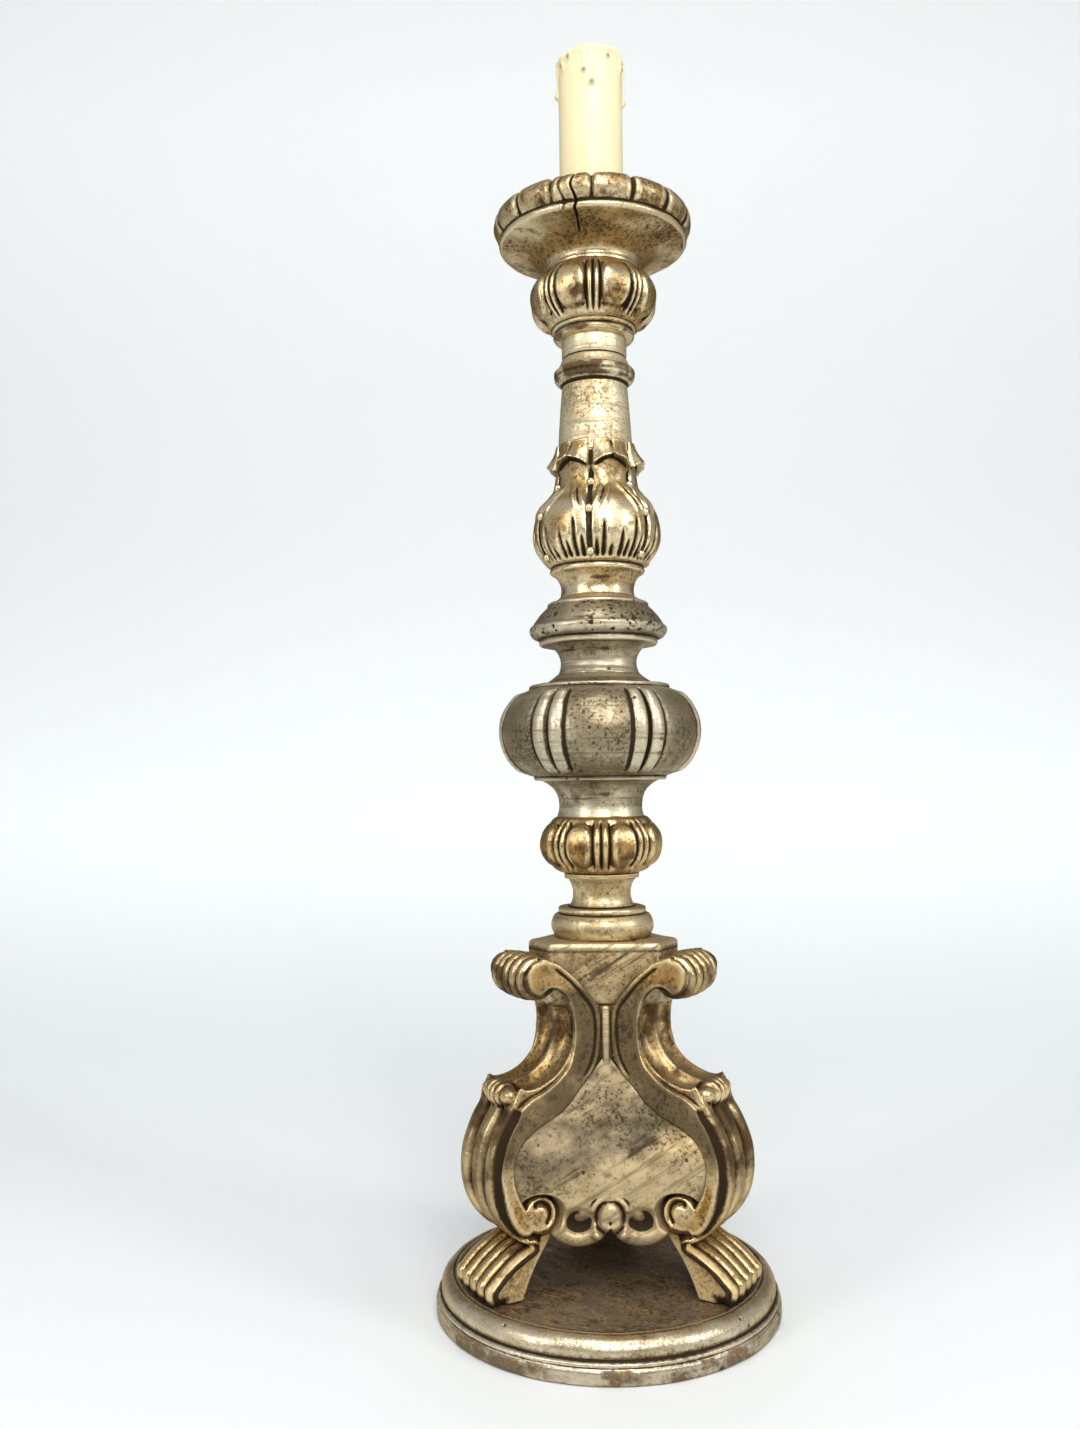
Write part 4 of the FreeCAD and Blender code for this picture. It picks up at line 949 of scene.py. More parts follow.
def makePanels(look):
    step = look["step"]
    low, high = look["grid"]
    out, aside, up = gridLines(low, high, step)
    flatOut, flatUp = np.meshgrid(out, up, indexing="ij")
    front = flowing(look["front"], closed=False)
    board = np.concatenate([[(look["back"], front[0][1])], front, [(look["back"], front[-1][1])]])
    side = outlineField(flatOut, flatUp, board)
    face = np.interp(up, front[:, 1], front[:, 0])[None, :]
    wide, upright = np.meshgrid(aside, up, indexing="ij")

    # the apron's lower edge hangs in two crescents either side of the bud
    bud, hood, berry, pit, lip = (look[label] for label in ("bud", "hood", "berry", "pit", "lip"))
    inward = (np.abs(wide) - pit["aside"]) / lip["stretch"]
    crescent = np.hypot(inward, upright - pit["up"]) - lip["radius"] - lip["roll"]
    apron = meld(crescent, (pit["up"] + 2.0) - upright, 2.0)
    rollLine = arcLine((0, pit["up"]), lip["radius"], lip["start"], lip["end"])
    roll = pathField(inward * np.where(wide < 0, -1, 1) * -1, upright, rollLine)
    hoodLine = arcLine((0, bud["up"] + hood["rise"]), hood["radius"], hood["start"], hood["end"])
    ball = np.hypot(wide / bud["wide"], (upright - bud["up"]) / bud["tall"])
    tail = pathField(wide, upright, np.array([(0, bud["up"] - 3), (0, bud["up"] - bud["tail"])]))
    berryReach = np.hypot(np.abs(wide) - berry["aside"], upright - berry["up"])

    relief = lip["proud"] * bell(roll, lip["roll"], 4)
    relief -= pit["depth"] * bell(np.hypot(inward, upright - pit["up"] - 0.6), pit["radius"], 4)
    relief += lip["eye"] * bell(np.hypot(inward + 1.2, upright - pit["up"] - 2.2), 2.0)
    relief += bud["proud"] * np.sqrt(np.clip(1 - ball ** 2, 0, 1))
    relief += bud["tailProud"] * bell(tail, 1.2)
    hoodReach = pathField(wide, upright, hoodLine)
    relief += hood["proud"] * bell(hoodReach, 0.9) - bud["moat"] * bell(ball - 1.25, 0.16)
    relief += berry["proud"] * np.sqrt(np.clip(1 - (berryReach / berry["radius"]) ** 2, 0, 1))
    field = np.empty((len(out), len(aside), len(up)))
    curl, ogive = legLook["curl"], look["ogive"]
    for index, offset in enumerate(aside):
        # across and along the line of the nearest leg, 60 degrees round
        toward = flatOut * math.cos(math.radians(30)) - abs(offset) * 0.5
        legOut = flatOut * 0.5 + abs(offset) * math.cos(math.radians(30))
        near = ease(flatOut - face, -7, -4)
        layer = np.maximum(side - relief[index][None, :] * near, look["edge"] - toward)
        curlReach = np.hypot(legOut - curl["centre"][0], flatUp - curl["centre"][1])
        layer = carved(layer, curlReach - curl["radius"] - 0.9, 0.8)
        peak = max(ogive["top"] - ogive["lean"] * abs(offset),
                   ogive["shoulder"] - ogive["shoulderLean"] * abs(offset))
        layer = np.maximum(layer, flatUp - peak)
        field[:, index, :] = -meld(-layer, -apron[index][None, :], 0.8)
    points, faces = skin(field, low, step)
    for seed, (node, azimuth) in enumerate(look["azimuths"].items()):
        worked = handWorked(points, faces, *look["uneven"], 40 + seed)
        dress("carved_" + node, turnedAbout(worked, azimuth), faces, panelFinish, [node],
              masks=panelMasks(worked, look, 50 + seed))


makePanels(panelLook)


# Three-sided cap block and core post

blockLook = {
    "cap_block": {"inradius": 22.8, "corner": 30.3, "bottom": 124.0, "top": 149.0, "taper": 132.5,
                  "first": 270.0, "round": 2.2, "step": 0.6, "uneven": (0.2, 8.0)},
    "core_post": {"inradius": 11.7, "corner": 21.7, "bottom": 40.0, "top": 124.0, "taper": 0.0,
                  "first": 90.0, "round": 0.8, "step": 0.6, "uneven": (0.2, 8.0)},
}


def makeBlock(node, look, finish):
    step = look["step"]
    reach = look["corner"] + 1.5
    low, high = (-reach, -reach, look["bottom"] - 1.2), (reach, reach, look["top"] + 1.2)
    east, north, up = np.meshgrid(*gridLines(low, high, step), indexing="ij")
    field = np.maximum(look["bottom"] - up, up - look["top"])
    faces = np.full(east.shape, -1e3)
    for index in range(3):
        angle = math.radians(look["first"] + 120 * index)
        along = east * math.cos(angle) + north * math.sin(angle)
        taper = 0.33 * np.maximum(look["taper"] - up, 0)
        faces = -meld(-faces, look["inradius"] - taper - along, 0.8)
        faces = -meld(-faces, look["corner"] + along, 0.8)
    field = -meld(-field, -faces, look["round"])
    field = np.maximum(field, tenon["bore"] - np.hypot(east, north))
    points, quads = skin(field, low, step)
    points = handWorked(points, quads, *look["uneven"], 61)
    below = look["top"] - points[:, 2]
    patchy = wobble(points, 7.0, 62)
    masks = {"proud": 0.1 + 0.3 * patchy, "grey": 0.2 + 0.2 * patchy}
    if look["taper"]:  # painted highlight along the top edge, painted shade line under it, a worn slant across the face
        masks = {
            "bare": (0.5 + 0.25 * patchy) * bell(below - 9.5 + 0.6 * points[:, 0], 4.0),
            "proud": np.maximum(0.9 * fall(below, 1.4, 2.6), (0.25 + 0.4 * patchy) * ease(below, 13, 18)),
            "hollow": 0.55 * bell(below - 3.4, 0.7),
            "grey": (0.05 + 0.35 * patchy) * ease(below, 4, 8),
        }
    dress("carved_" + node, points, quads, finish, [node], masks=masks)


makeBlock("cap_block", blockLook["cap_block"], panelFinish)
makeBlock("core_post", blockLook["core_post"], footFinish)


# Turned stem

# gleams: painted highlight rings
stemLook = {
    "stem_foot": {
        "finish": footFinish, "slot": "gilded_wood", "gleams": [(6.5, 2.0, 0.7), (15.5, 2.0, 0.6)],
        "steps": [(19.2, 0), (19.2, 9.6, 2.0), (17.6, 0), (18.0, 0.5), (18.0, 2.2, 0.3), (13.6, 0),
                  (14.5, 12.0, -2.0)]},
    "collar_disc": {
        "finish": silverFinish, "slot": "silvered_wood", "gleams": [(4.0, 2.4, 0.9)],
        "rough": (15.0, 29.5, 0.95),
        "stains": [(275, 8.6, 6.0, 2.2, 0.95), (230, 9, 7, 1.5, 0.5), (268, 21.5, 16, 1.6, 0.55),
                   (262, 18, 26, 1.3, 0.5), (320, 23.5, 12, 1.6, 0.5), (60, 9, 9, 2, 0.7),
                   (150, 22, 15, 1.6, 0.6)],
        "steps": [(17.4, 0), (20.5, 12.4, -2.9), (24.6, 0), (24.6, 2.6, 0.4), (26.6, 0.3), (28.9, 3.6, 0.7),
                  (27.6, 1.6, 0.4), (21.1, 8.0, 0.5), (21.1, 1.5, 0.2), (16.0, 2.4, -0.3)]},
    "column": {
        "finish": columnFinish, "slot": "gilded_wood", "worn": (30.6, 37.5, 0.6),
        "stains": [(270, 24, 40, 2.4, 0.32), (282, 21, 12, 1.5, 0.3), (262, 8, 14, 1.6, 0.3)],
        "steps": [(15.8, 0), (13.8, 30.0, 0.2), (14.6, 0.8), (15.2, 0.6), (17.0, 3.4, 0.7), (16.9, 1.6, 0.3),
                  (14.4, 3.6, -0.4), (14.2, 0.8), (13.5, 0.7, -0.3), (13.8, 0.9), (13.8, 7.2)]},
}


def gleaming(rise, look):
    # painted highlight rings: height, half height, strength
    return sum(strength * bell(rise - height, tall) for height, tall, strength in look.get("gleams", []))


def ringZone(rise, start, end):
    return ease(rise, start, start + 1) * fall(rise, end - 1, end)


def handTurned(points, faces, uneven, seed):
    # unevenness on the outside only, so that tenons and sockets stay true
    outer = radii(points) > tenon["radius"] + 1
    return np.where(outer[:, None], handWorked(points, faces, *uneven, seed), points)


def makeStem(node, look):
    foot = footOf(node)
    points, faces = stemPiece(stepped(foot, look["steps"]), turning["stemSegments"])
    points = handTurned(points, faces, turning["stemUneven"], len(node))
    fromFoot = points - [0, 0, foot]
    rise = fromFoot[:, 2]
    masks = {"bare": stained(fromFoot, look.get("stains", [])), "proud": gleaming(rise, look)}
    if "rough" in look:  # specks of dirt
        start, end, amount = look["rough"]
        specks = np.clip(wobble(points, 1.1, 13) + 0.4 * wobble(points, 2.3, 14), 0, 1)
        masks["hollow"] = amount * ringZone(rise, start, end) * specks
    if "worn" in look:  # bare wood, with a dark line round it
        start, end, amount = look["worn"]
        worn = ringZone(rise, start, end) * (amount + 0.3 * wobble(points, 4.0, 12))
        masks["bare"] = np.maximum(masks["bare"], worn)
        masks["hollow"] = 0.45 * bell(rise - start - 3.2, 0.9)
    dress("turned_" + node, points, faces, look["finish"], [node], masks=masks)


for node, look in stemLook.items():
    makeStem(node, look)


# Lobed knops and the drip pan

# per piece: gleam, crown and gleams set painted highlights; the low lobes get stains and painted shade
knopLook = {
    "lower_knop": {
        "finish": orangeFinish, "slot": "gilded_wood", "gleam": 0.4, "crown": 0.75, "stainAndShade": 0.35,
        "stains": [(252, 13, 4.5, 4, 0.6), (296, 9, 4, 3.5, 0.55), (226, 11, 4, 4, 0.6), (60, 12, 5, 4, 0.6)],
        "steps": [(15.5, 0), (15.5, 2.2), (18.4, 23.0, 8.95)],
        "carving": {"Count": 8, "Turn": 268, "Strip Angle": 8.2, "Lobe Rise": 2.2, "Strip Rise": 1.5,
                    "Groove": 0.5, "Mid Groove": 0.8, "Groove Width": 0.6,
                    "Fade": 2.2, "Inner": 14, "Oval": 1.0},
        "window": (2.6, 25.0)},
    "ball_knop": {
        "finish": silverFinish, "slot": "silvered_wood", "gleam": 0.95, "crown": 0.0, "stainAndShade": 0.12,
        "gleams": [(2.6, 1.8, 0.8), (51.5, 1.2, 0.4)],
        "stains": [(275, 9.5, 9.0, 2.4, 0.85), (225, 8, 9, 2, 0.5), (272, 14.6, 9, 1.0, 0.7),
                   (304, 30, 2.4, 9, 0.75), (100, 9, 10, 2.4, 0.7)],
        "steps": [(18.2, 0), (24.6, 15.0, -3.6), (27.4, 0), (27.4, 1.8, 0.3), (28.6, 0.1), (29.8, 35.9, 11.7),
                  (29.2, 0.2), (29.2, 1.6, 0.3), (24.0, 0.1), (17.6, 4.3, -0.3)],
        "carving": {"Count": 6, "Turn": 297, "Strip Angle": 10.4, "Lobe Rise": 0.1, "Strip Rise": 1.4,
                    "Groove": 0.6, "Mid Groove": 2.3, "Groove Width": 0.9,
                    "Fade": 3.0, "Inner": 26, "Oval": 0.2},
        "window": (17.2, 52.6)},
    "upper_knop": {
        "finish": paleFinish, "slot": "gilded_wood", "gleam": 0.6, "crown": 0.95, "stainAndShade": 0.35,
        "stains": [(253, 13, 4.5, 4.5, 0.75), (288, 14, 4, 6, 0.5), (270, 1.5, 70, 1.5, 0.8),
                   (110, 14, 6, 5, 0.6)],
        "steps": [(13.8, 0), (15.9, 0.4), (16.7, 2.4, 0.9), (15.9, 0.5), (17.5, 0.5), (17.7, 0.9, 0.4),
                  (17.9, 0.3), (19.6, 24.0, 8.5), (19.9, 1.4)],
        "carving": {"Count": 8, "Turn": 268, "Strip Angle": 6.6, "Lobe Rise": 2.1, "Strip Rise": 1.5,
                    "Groove": 0.7, "Mid Groove": 0.9, "Groove Width": 0.55,
                    "Fade": 2.2, "Inner": 14, "Oval": 0.97},
        "window": (5.2, 29.2)},
    "drip_pan": {
        "finish": panFinish, "slot": "gilded_wood", "socket": False, "dense": 255.0, "line": 0.5,
        "crown": 0.3, "stainAndShade": 0.3, "cut": 0.36, "gleams": [(2.0, 1.4, 0.4)],
        "rim": {"inner": 37.5, "bead": 11.4, "seat": 13.2, "under": 8.5},
        "cracks": [  # azimuth, inner radius, width, depth
            (257.5, 24.0, 0.45, 1.5), (250.5, 36.5, 0.8, 0.5)],
        "stains": [(275, 7.6, 14, 3.0, 0.6), (262, 6.2, 6, 2, 0.6), (288, 22, 4, 3, 0.55),
                   (236, 20, 3, 3, 0.5), (300, 18, 3, 4, 0.55), (100, 21, 9, 3, 0.5), (180, 20, 7, 3, 0.5)],
        "steps": [(19.9, 0), (20.9, 3.0, -0.4), (36.0, 6.8, -1.6), (38.8, 0.3), (39.4, 2.6, 1.0), (38.8, 0.5),
                  (40.6, 1.6), (36.8, 10.1, 3.2), (35.2, 0.1), (32.0, -5.4, -0.8), (9.0, -0.6)],
        "carving": {"Count": 15, "Turn": 4, "Strip Angle": 0.2, "Lobe Rise": 0.7, "Strip Rise": 0.0,
                    "Groove": 0.55, "Mid Groove": 0.55, "Groove Width": 0.7,
                    "Fade": 2.0, "Inner": 34, "Oval": 0.2},
        "window": (12.8, 33.0)},
}


def crackShare(points, crack):
    # a split in the pan that wanders up from the bowl over the rim
    azimuth, inner, width, depth = crack
    angles = bearings(points) % 360
    radius = radii(points)
    aside = np.radians(angles - azimuth - 1.2 * np.sin(points[:, 2] * 0.5)) * radius
    return bell(aside, width) * ease(radius, inner, inner + 4)


def carvingMasks(points, foot, look):
    # dark lines in the carved grooves; painted highlights on the reeds and the upper lobes; stains and
    # painted shade low on the lobes
    carving = look["carving"]
    low, high = look["window"]
    radius = radii(points)
    pitch, strip = 360 / carving["Count"], carving["Strip Angle"]
    turns = (bearings(points) - carving["Turn"]) / pitch
    angle = pitch * np.abs(turns - np.round(turns))
    share = (points[:, 2] - foot - low) / (high - low)
    carvedZone = ease(share, 0, 0.12) * fall(share, 0.9, 1) * (radius > carving["Inner"])
    patchy = wobble(points, 5.0, 15)
    edge = bell(np.radians(angle - strip) * radius, look.get("line", 0.8))
    middle = bell(np.radians(angle) * radius, look.get("line", 0.65))
    reed = ease(angle, 1.2, 2.6) * fall(angle, strip - 1.6, strip)
    # a painted highlight on the reeds, strongest on the side toward the front
    reed = reed * look.get("gleam", 0) * (0.15 + 0.85 * fall(points[:, 1], -20, -6))
    lobe = ease(angle, strip + 2, strip + 5)
    return {
        "hollow": carvedZone * np.maximum(edge, middle) * (look.get("cut", 0.58) + 0.3 * patchy),
        "proud": carvedZone * np.maximum(reed, look["crown"] * lobe * ease(share, 0.45, 0.8)),
        "bare": carvedZone * lobe * look["stainAndShade"] * fall(share, 0.3, 0.6) * (1 + patchy),
    }


def rimMasks(points, foot, rim, masks):
    # the pan's grimy underside, a painted highlight on its bead and the dark seat of its lobes
    radius, rise = radii(points), points[:, 2] - foot
    under = fall(rise, rim["under"] - 1, rim["under"] + 1)
    masks["grey"] = 0.95 * under * ease(radius, 26, 33)
    masks["warm"] = 0.45 * under * fall(radius, 25, 30)
    outer = radius > rim["inner"]
    masks["proud"] = np.maximum(masks["proud"], 0.9 * outer * bell(rise - rim["bead"], 0.9))
    masks["hollow"] = np.maximum(masks["hollow"], 0.5 * outer * bell(rise - rim["seat"], 0.7))


def makeKnop(node, look):
    foot = footOf(node)
    places = stepped(foot, look["steps"])
    points, faces = stemPiece(places, turning["knopSegments"], look.get("socket", True), look.get("dense"))
    low, high = look["window"]
    carving = {**look["carving"], "Low": foot + low, "High": foot + high}
    for label in ("Turn", "Strip Angle"):
        carving[label] = math.radians(carving[label])
    for label in lobeLengths:
        carving[label] = carving[label] * mm
    points = carveLobes(points, faces, look["finish"], carving)
    masks = carvingMasks(points, foot, look)
    masks["bare"] = np.maximum(masks["bare"], stained(points - [0, 0, foot], look["stains"]))
    masks["proud"] = np.maximum(masks["proud"], gleaming(points[:, 2] - foot, look))
    for crack in look.get("cracks", []):
        split = crackShare(points, crack)
        points = points - pointNormals(points, faces) * (crack[3] * split)[:, None]
        label = "hollow" if crack[3] > 1 else "bare"  # only a deep crack is dark
        masks[label] = np.maximum(masks[label], split)
    points = handTurned(points, faces, turning["knopUneven"], len(node) + 5)
    if "rim" in look:
        rimMasks(points, foot, look["rim"], masks)
    dress("lobed_" + node, points, faces, look["finish"], [node], masks=masks)


for node, look in knopLook.items():
    makeKnop(node, look)


# Leaf vase

vaseLook = {
    "step": 0.5, "count": 6, "first": 291.0, "room": 30.0, "uneven": (0.15, 5.0),
    "steps": [(15.8, 0), (18.6, 9.8, -1.8), (18.8, 2.6, 1.4), (19.6, 0.2), (26.9, 13.4, 2.0),
              (22.3, 13.4, 1.4), (17.6, 8.4, -0.9), (16.6, 7.0), (15.9, 5.4)],
    "seam": {"depth": 1.8, "width": 0.9, "low": 303.0, "high": 342.0, "pillow": 0.9},
    "veins": {"angles": (-23, -16, -8.5, 1.5, 8, 15.5, 23), "lengths": (9, 16, 7, 13, 9, 18, 11),
              "depth": 1.7, "width": 1.15, "low": 303.4},
    "stains": [(269, 296.6, 7.5, 1.4, 0.9), (238, 297, 8, 1.2, 0.6), (305, 297, 6, 1.4, 0.6),
               (100, 297, 9, 1.4, 0.7)],
    "gleams": [(2.4, 1.7, 0.9), (12.0, 1.0, 0.5)],
    # place of the painted highlight on the bellies
    "belly": {"up": 324.5, "tall": 4.5},
    "slants": {"angles": (6, 15, 24), "lean": 0.9, "rise": 0.9, "width": 1.0, "low": 321.0, "high": 336.0},
    "fold": {"lip": 346.4, "drop": 5.0, "radius": 21.3, "draw": 2.4, "crest": 354.4, "neck": 16.7,
             "split": 2.2, "crease": 0.5, "bore": 15.95},
    "bead": {"radius": 1.9, "wire": 0.45, "sink": 1.1, "top": 340.5, "bottom": 305.5,
             "balls": (335.5, 323.0, 306.0)},
}


def leafTurn(azimuth, look):
    # degrees from the middle of the nearest leaf
    sector = 360.0 / look["count"]
    turn = azimuth - look["first"]
    return turn - sector * np.round(turn / sector)


def veinShare(turn, radius, up, veins):
    # short tapered cuts above the leaf's foot
    total = np.zeros(turn.shape)
    for angle, length in zip(veins["angles"], veins["lengths"]):
        end = veins["low"] + length
        taper = 0.45 + 0.55 * fall(up, veins["low"], end)
        window = ease(up, veins["low"], veins["low"] + 2.5) * fall(up, end - 5, end)
        aside = np.radians(turn - angle) * radius
        total = np.maximum(total, window * bell(aside, veins["width"] * taper))
    return total


def vaseMasks(points, base, look):
    # dark cuts, painted shade under the folded tips, painted highlights across the bellies and in rings
    radius, up = radii(points), points[:, 2]
    turn = leafTurn(bearings(points), look)
    seam, belly = look["seam"], look["belly"]
    gap = bell(np.radians(180.0 / look["count"] - np.abs(turn)) * radius, 0.75)
    gap = gap * ease(up, seam["low"], seam["low"] + 2) * fall(up, seam["high"], seam["high"] + 2)
    cuts = np.maximum(gap, veinShare(turn, radius, up, look["veins"]))
    cuts = cuts * (0.68 + 0.3 * wobble(points, 3.0, 73))
    shade = ease(up, 337, 342) * fall(up, 343, 347) * fall(radius, 19, 20.5)
    # painted highlight across the upper belly
    rubbed = bell(up - belly["up"], belly["tall"]) * (0.8 + 0.5 * wobble(points, 6.0, 72))
    return {
        "hollow": np.maximum(cuts, 0.3 * shade),
        "proud": np.maximum(0.8 * rubbed, gleaming(up - base, look)),
        "bare": stained(points, look["stains"]),
    }


def makeVase(look):
    base = footOf("leaf_vase")
    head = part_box("leaf_vase")[1].z / mm
    foot = base - tenon["length"]
    step, room = look["step"], look["room"]
    line = softened(sectionLine(stepped(base, look["steps"])))
    line[-1][1] = head
    spigot = [(0, foot), (tenon["radius"], foot), (tenon["radius"], base)]
    low, high = (-room, -room, foot - 1), (room, room, look["fold"]["crest"] + 1.5)
    lines = gridLines(low, high, step)
    flatOut, flatUp = np.meshgrid(np.arange(0, room * 1.5, step), lines[2], indexing="ij")
    plane = outlineField(flatOut, flatUp, np.concatenate([spigot, line, [(0, head)]]))
    east, north, up = np.meshgrid(*lines, indexing="ij")
    radius = np.hypot(east, north)
    cells = np.stack([radius.ravel() / step, ((up - low[2]) / step).ravel()], 1)
    field = sampled(plane, cells).reshape(radius.shape)
    turn = leafTurn(np.degrees(np.arctan2(north, east)), look)
    half = 180.0 / look["count"]  # degrees from a leaf's middle to its seam
    aside = np.radians(turn) * radius
    seamAside = np.radians(half - np.abs(turn)) * radius

    seam, veins, slants, fold = look["seam"], look["veins"], look["slants"], look["fold"]
    body = radius > tenon["radius"] + 2
    window = ease(up, seam["low"], seam["low"] + 4) * fall(up, seam["high"] - 3, seam["high"])
    field = field + body * window * seam["depth"] * bell(seamAside, seam["width"])
    field = field + body * window * seam["pillow"] * (np.abs(turn) / half) ** 3
    field = field + body * veins["depth"] * veinShare(turn, radius, up, veins)
    # leaflets that slant from the waist down over the hip
    window = ease(up, slants["low"], slants["low"] + 5) * fall(up, slants["high"] - 4, slants["high"])
    for angle in slants["angles"]:
        lean = np.abs(turn) - angle - slants["lean"] * (slants["high"] - up)
        field = field - body * window * slants["rise"] * bell(np.radians(lean) * radius, slants["width"])
    # tips that fold over outwards and droop at the seams
    share = (np.abs(turn) / half) ** 2
    lip = fold["lip"] - fold["drop"] * share
    reach = fold["radius"] - fold["draw"] * share + 0.35 * np.cos(np.radians(turn) * 24)
    slope = np.clip((fold["crest"] - up) / (fold["crest"] - lip), 0, 1) ** 1.6
    tip = np.maximum(0.75 * (radius - fold["neck"] - (reach - fold["neck"]) * slope), 0.8 * (lip - up))
    tip = np.maximum(tip, up - fold["crest"])
    tip = tip + fold["split"] * bell(seamAside, 0.9) + fold["crease"] * bell(aside, 0.7)
    field = np.where(body, meld(field, tip, 0.8), field)
    # room for the column's foot above the head, and for the tube
    field = np.maximum(field, np.where(up > head, fold["bore"] - radius, -1.0))
    field = np.maximum(field, tenon["bore"] - radius)
    points, faces = skin(field, low, step)
    points = handWorked(points, faces, *look["uneven"], 71)
    dress("carved_leaf_vase", points, faces, paleFinish, ["leaf_vase"],
          masks=vaseMasks(points, base, look))


def beadTree():
    # a wire with small balls along it, set round the stem a number of times
    inputs = (("Count", "Int"), ("Bead", "Float"), ("Wire", "Float"), ("First", "Float"))
    tree, given = shapeGroup("beadString", inputs)
    line = place(tree, "GeometryNodeMeshToCurve", {0: given["Geometry"]}).outputs[0]
    ring = place(tree, "GeometryNodeCurvePrimitiveCircle", {"Resolution": 10, "Radius": given["Wire"]})
    sockets = {"Curve": line, "Profile Curve": ring.outputs[0], "Fill Caps": True}
    wire = place(tree, "GeometryNodeCurveToMesh", sockets).outputs[0]
    sockets = {"Segments": 18, "Rings": 12, "Radius": given["Bead"]}
    ball = place(tree, "GeometryNodeMeshUVSphere", sockets).outputs[0]
    sockets = {"Geometry": ball, "Name": "proud", "Value": 0.9}
    ball = place(tree, "GeometryNodeStoreNamedAttribute", sockets).outputs[0]
    chosen = place(tree, "GeometryNodeInputNamedAttribute", {"Name": "ball"}).outputs[0]
    chosen = calc(tree, "GREATER_THAN", chosen, 0.5)
    sockets = {"Points": given["Geometry"], "Instance": ball, "Selection": chosen}
    balls = place(tree, "GeometryNodeInstanceOnPoints", sockets).outputs[0]
    grimy = place(tree, "GeometryNodeStoreNamedAttribute", {"Geometry": wire, "Name": "hollow", "Value": 0.6})
    string = place(tree, "GeometryNodeJoinGeometry")
    tree.links.new(grimy.outputs[0], string.inputs[0])
    tree.links.new(balls, string.inputs[0])
    spots = place(tree, "GeometryNodePoints", {"Count": given["Count"]}).outputs[0]
    pitch = calc(tree, "DIVIDE", 2 * math.pi, given["Count"])
    index = place(tree, "GeometryNodeInputIndex").outputs[0]
    turn = place(tree, "ShaderNodeCombineXYZ", {2: plus(tree, times(tree, index, pitch), given["First"])})
    sockets = {"Points": spots, "Instance": string.outputs[0], "Rotation": turn.outputs[0]}
    sets = place(tree, "GeometryNodeInstanceOnPoints", sockets).outputs[0]
    closeGroup(tree, sets, given["Finish"])
    return tree


def makeBeads(look):
    bead = look["bead"]
    mesh = bpy.data.meshes.new("bead_line")
    line = sectionLine(stepped(footOf("leaf_vase"), look["steps"]))
    heights = np.linspace(bead["top"], bead["bottom"], 71)
    reaches = np.interp(heights, line[:, 1], line[:, 0]) - bead["sink"]
    places = [(reach * mm, 0, height * mm) for reach, height in zip(reaches, heights)]
    mesh.from_pydata(places, [(index, index + 1) for index in range(len(heights) - 1)], [])
    gaps = np.abs(heights[:, None] - np.array(bead["balls"])).min(1)
    chosen = mesh.attributes.new("ball", "FLOAT", "POINT")
    chosen.data.foreach_set("value", (gaps < 0.2).astype(np.float32))
    first = math.radians(look["first"] + 180 / look["count"])
    values = {"Count": look["count"], "Bead": bead["radius"] * mm, "Wire": bead["wire"] * mm, "First": first}
    strung = grown(mesh, beadTree(), {**values, "Finish": paleFinish})
    piece = added("vase_beads", strung)
    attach(piece, "stand")
    print("vase_beads", len(strung.polygons), "faces")


makeVase(vaseLook)
makeBeads(vaseLook)


# False candle

candleLook = {
    "step": 0.44, "radius": 13.6, "bore": 12.4, "rim": 0.9, "uneven": (0.05, 6.0),
    "drips": [  # azimuth, length below the rim, radius, lean
        (182, 16.0, 1.7, -4), (207, 6.5, 1.4, 3), (228, 4.0, 1.2, 0), (256, 12.0, 1.4, 2),
        (268, 17.5, 1.5, 3), (300, 5.0, 1.3, 0), (338, 8.0, 1.6, -2), (2, 19.0, 1.8, 3), (30, 6.0, 1.4, 0),
        (52, 11.0, 1.6, 2), (95, 20.0, 1.6, -3), (122, 7.0, 1.5, 2), (146, 10.0, 1.5, 0)],
}


def makeCandle(look):
    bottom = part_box("candle_sleeve")[0].z / mm
    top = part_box("candle_sleeve")[1].z / mm
    step, wall = look["step"], look["radius"]
    reach = wall + 3.2
    low, high = (-reach, -reach, bottom - 1), (reach, reach, top + 1)
    east, north, up = np.meshgrid(*gridLines(low, high, step), indexing="ij")
    radius = np.hypot(east, north)
    azimuth = np.arctan2(north, east)
    rim = top - 1.4 - look["rim"] * (np.sin(2 * azimuth + 0.6) + 0.6 * np.sin(5 * azimuth + 2.0)) / 1.6
    field = np.maximum(radius - wall, np.maximum(bottom - up, up - rim))
    lipReach = np.hypot(radius - wall + 0.7, up - rim + 0.9)
    field = meld(field, lipReach - 1.25, 1.2)
    ends = []
    for angle, length, thick, lean in look["drips"]:
        turn, leant = math.radians(angle), math.radians(angle) + math.radians(lean)
        foot = np.array([*(np.array([math.cos(leant), math.sin(leant)]) * (wall - 0.1)), top - length])
        head = np.array([math.cos(turn) * (wall - 0.6), math.sin(turn) * (wall - 0.6), top - 2])
        ends.append(foot * [1.1, 1.1, 1.0])
        run = head - foot
        fromFoot = [line - start for line, start in zip((east, north, up), foot)]
        share = (fromFoot[0] * run[0] + fromFoot[1] * run[1] + fromFoot[2] * run[2]) / (run @ run)
        share = np.clip(share, 0, 1)
        gap = np.sqrt(sum((line - share * part) ** 2 for line, part in zip(fromFoot, run)))
        waist = 1.0 - 0.45 * np.sin(math.pi * np.clip(share * 1.3, 0, 1))  # thin between the rim and the drop
        field = meld(field, gap - thick * waist, 0.8)
    field = np.maximum(field, look["bore"] - radius)
    field = np.maximum(field, up - (top - 0.1))
    points, faces = skin(field, low, step)
    points = handWorked(points, faces, *look["uneven"], 81)
    spot = np.zeros(len(points))
    for foot in ends:
        spot = np.maximum(spot, fall(np.linalg.norm(points - foot, axis=1), 0.7, 1.3))
    dress("dripped_candle", points, faces, waxFinish, ["candle_sleeve"], "sleeve",
          {"spot": spot})


makeCandle(candleLook)


# Fittings keep their CAD shapes

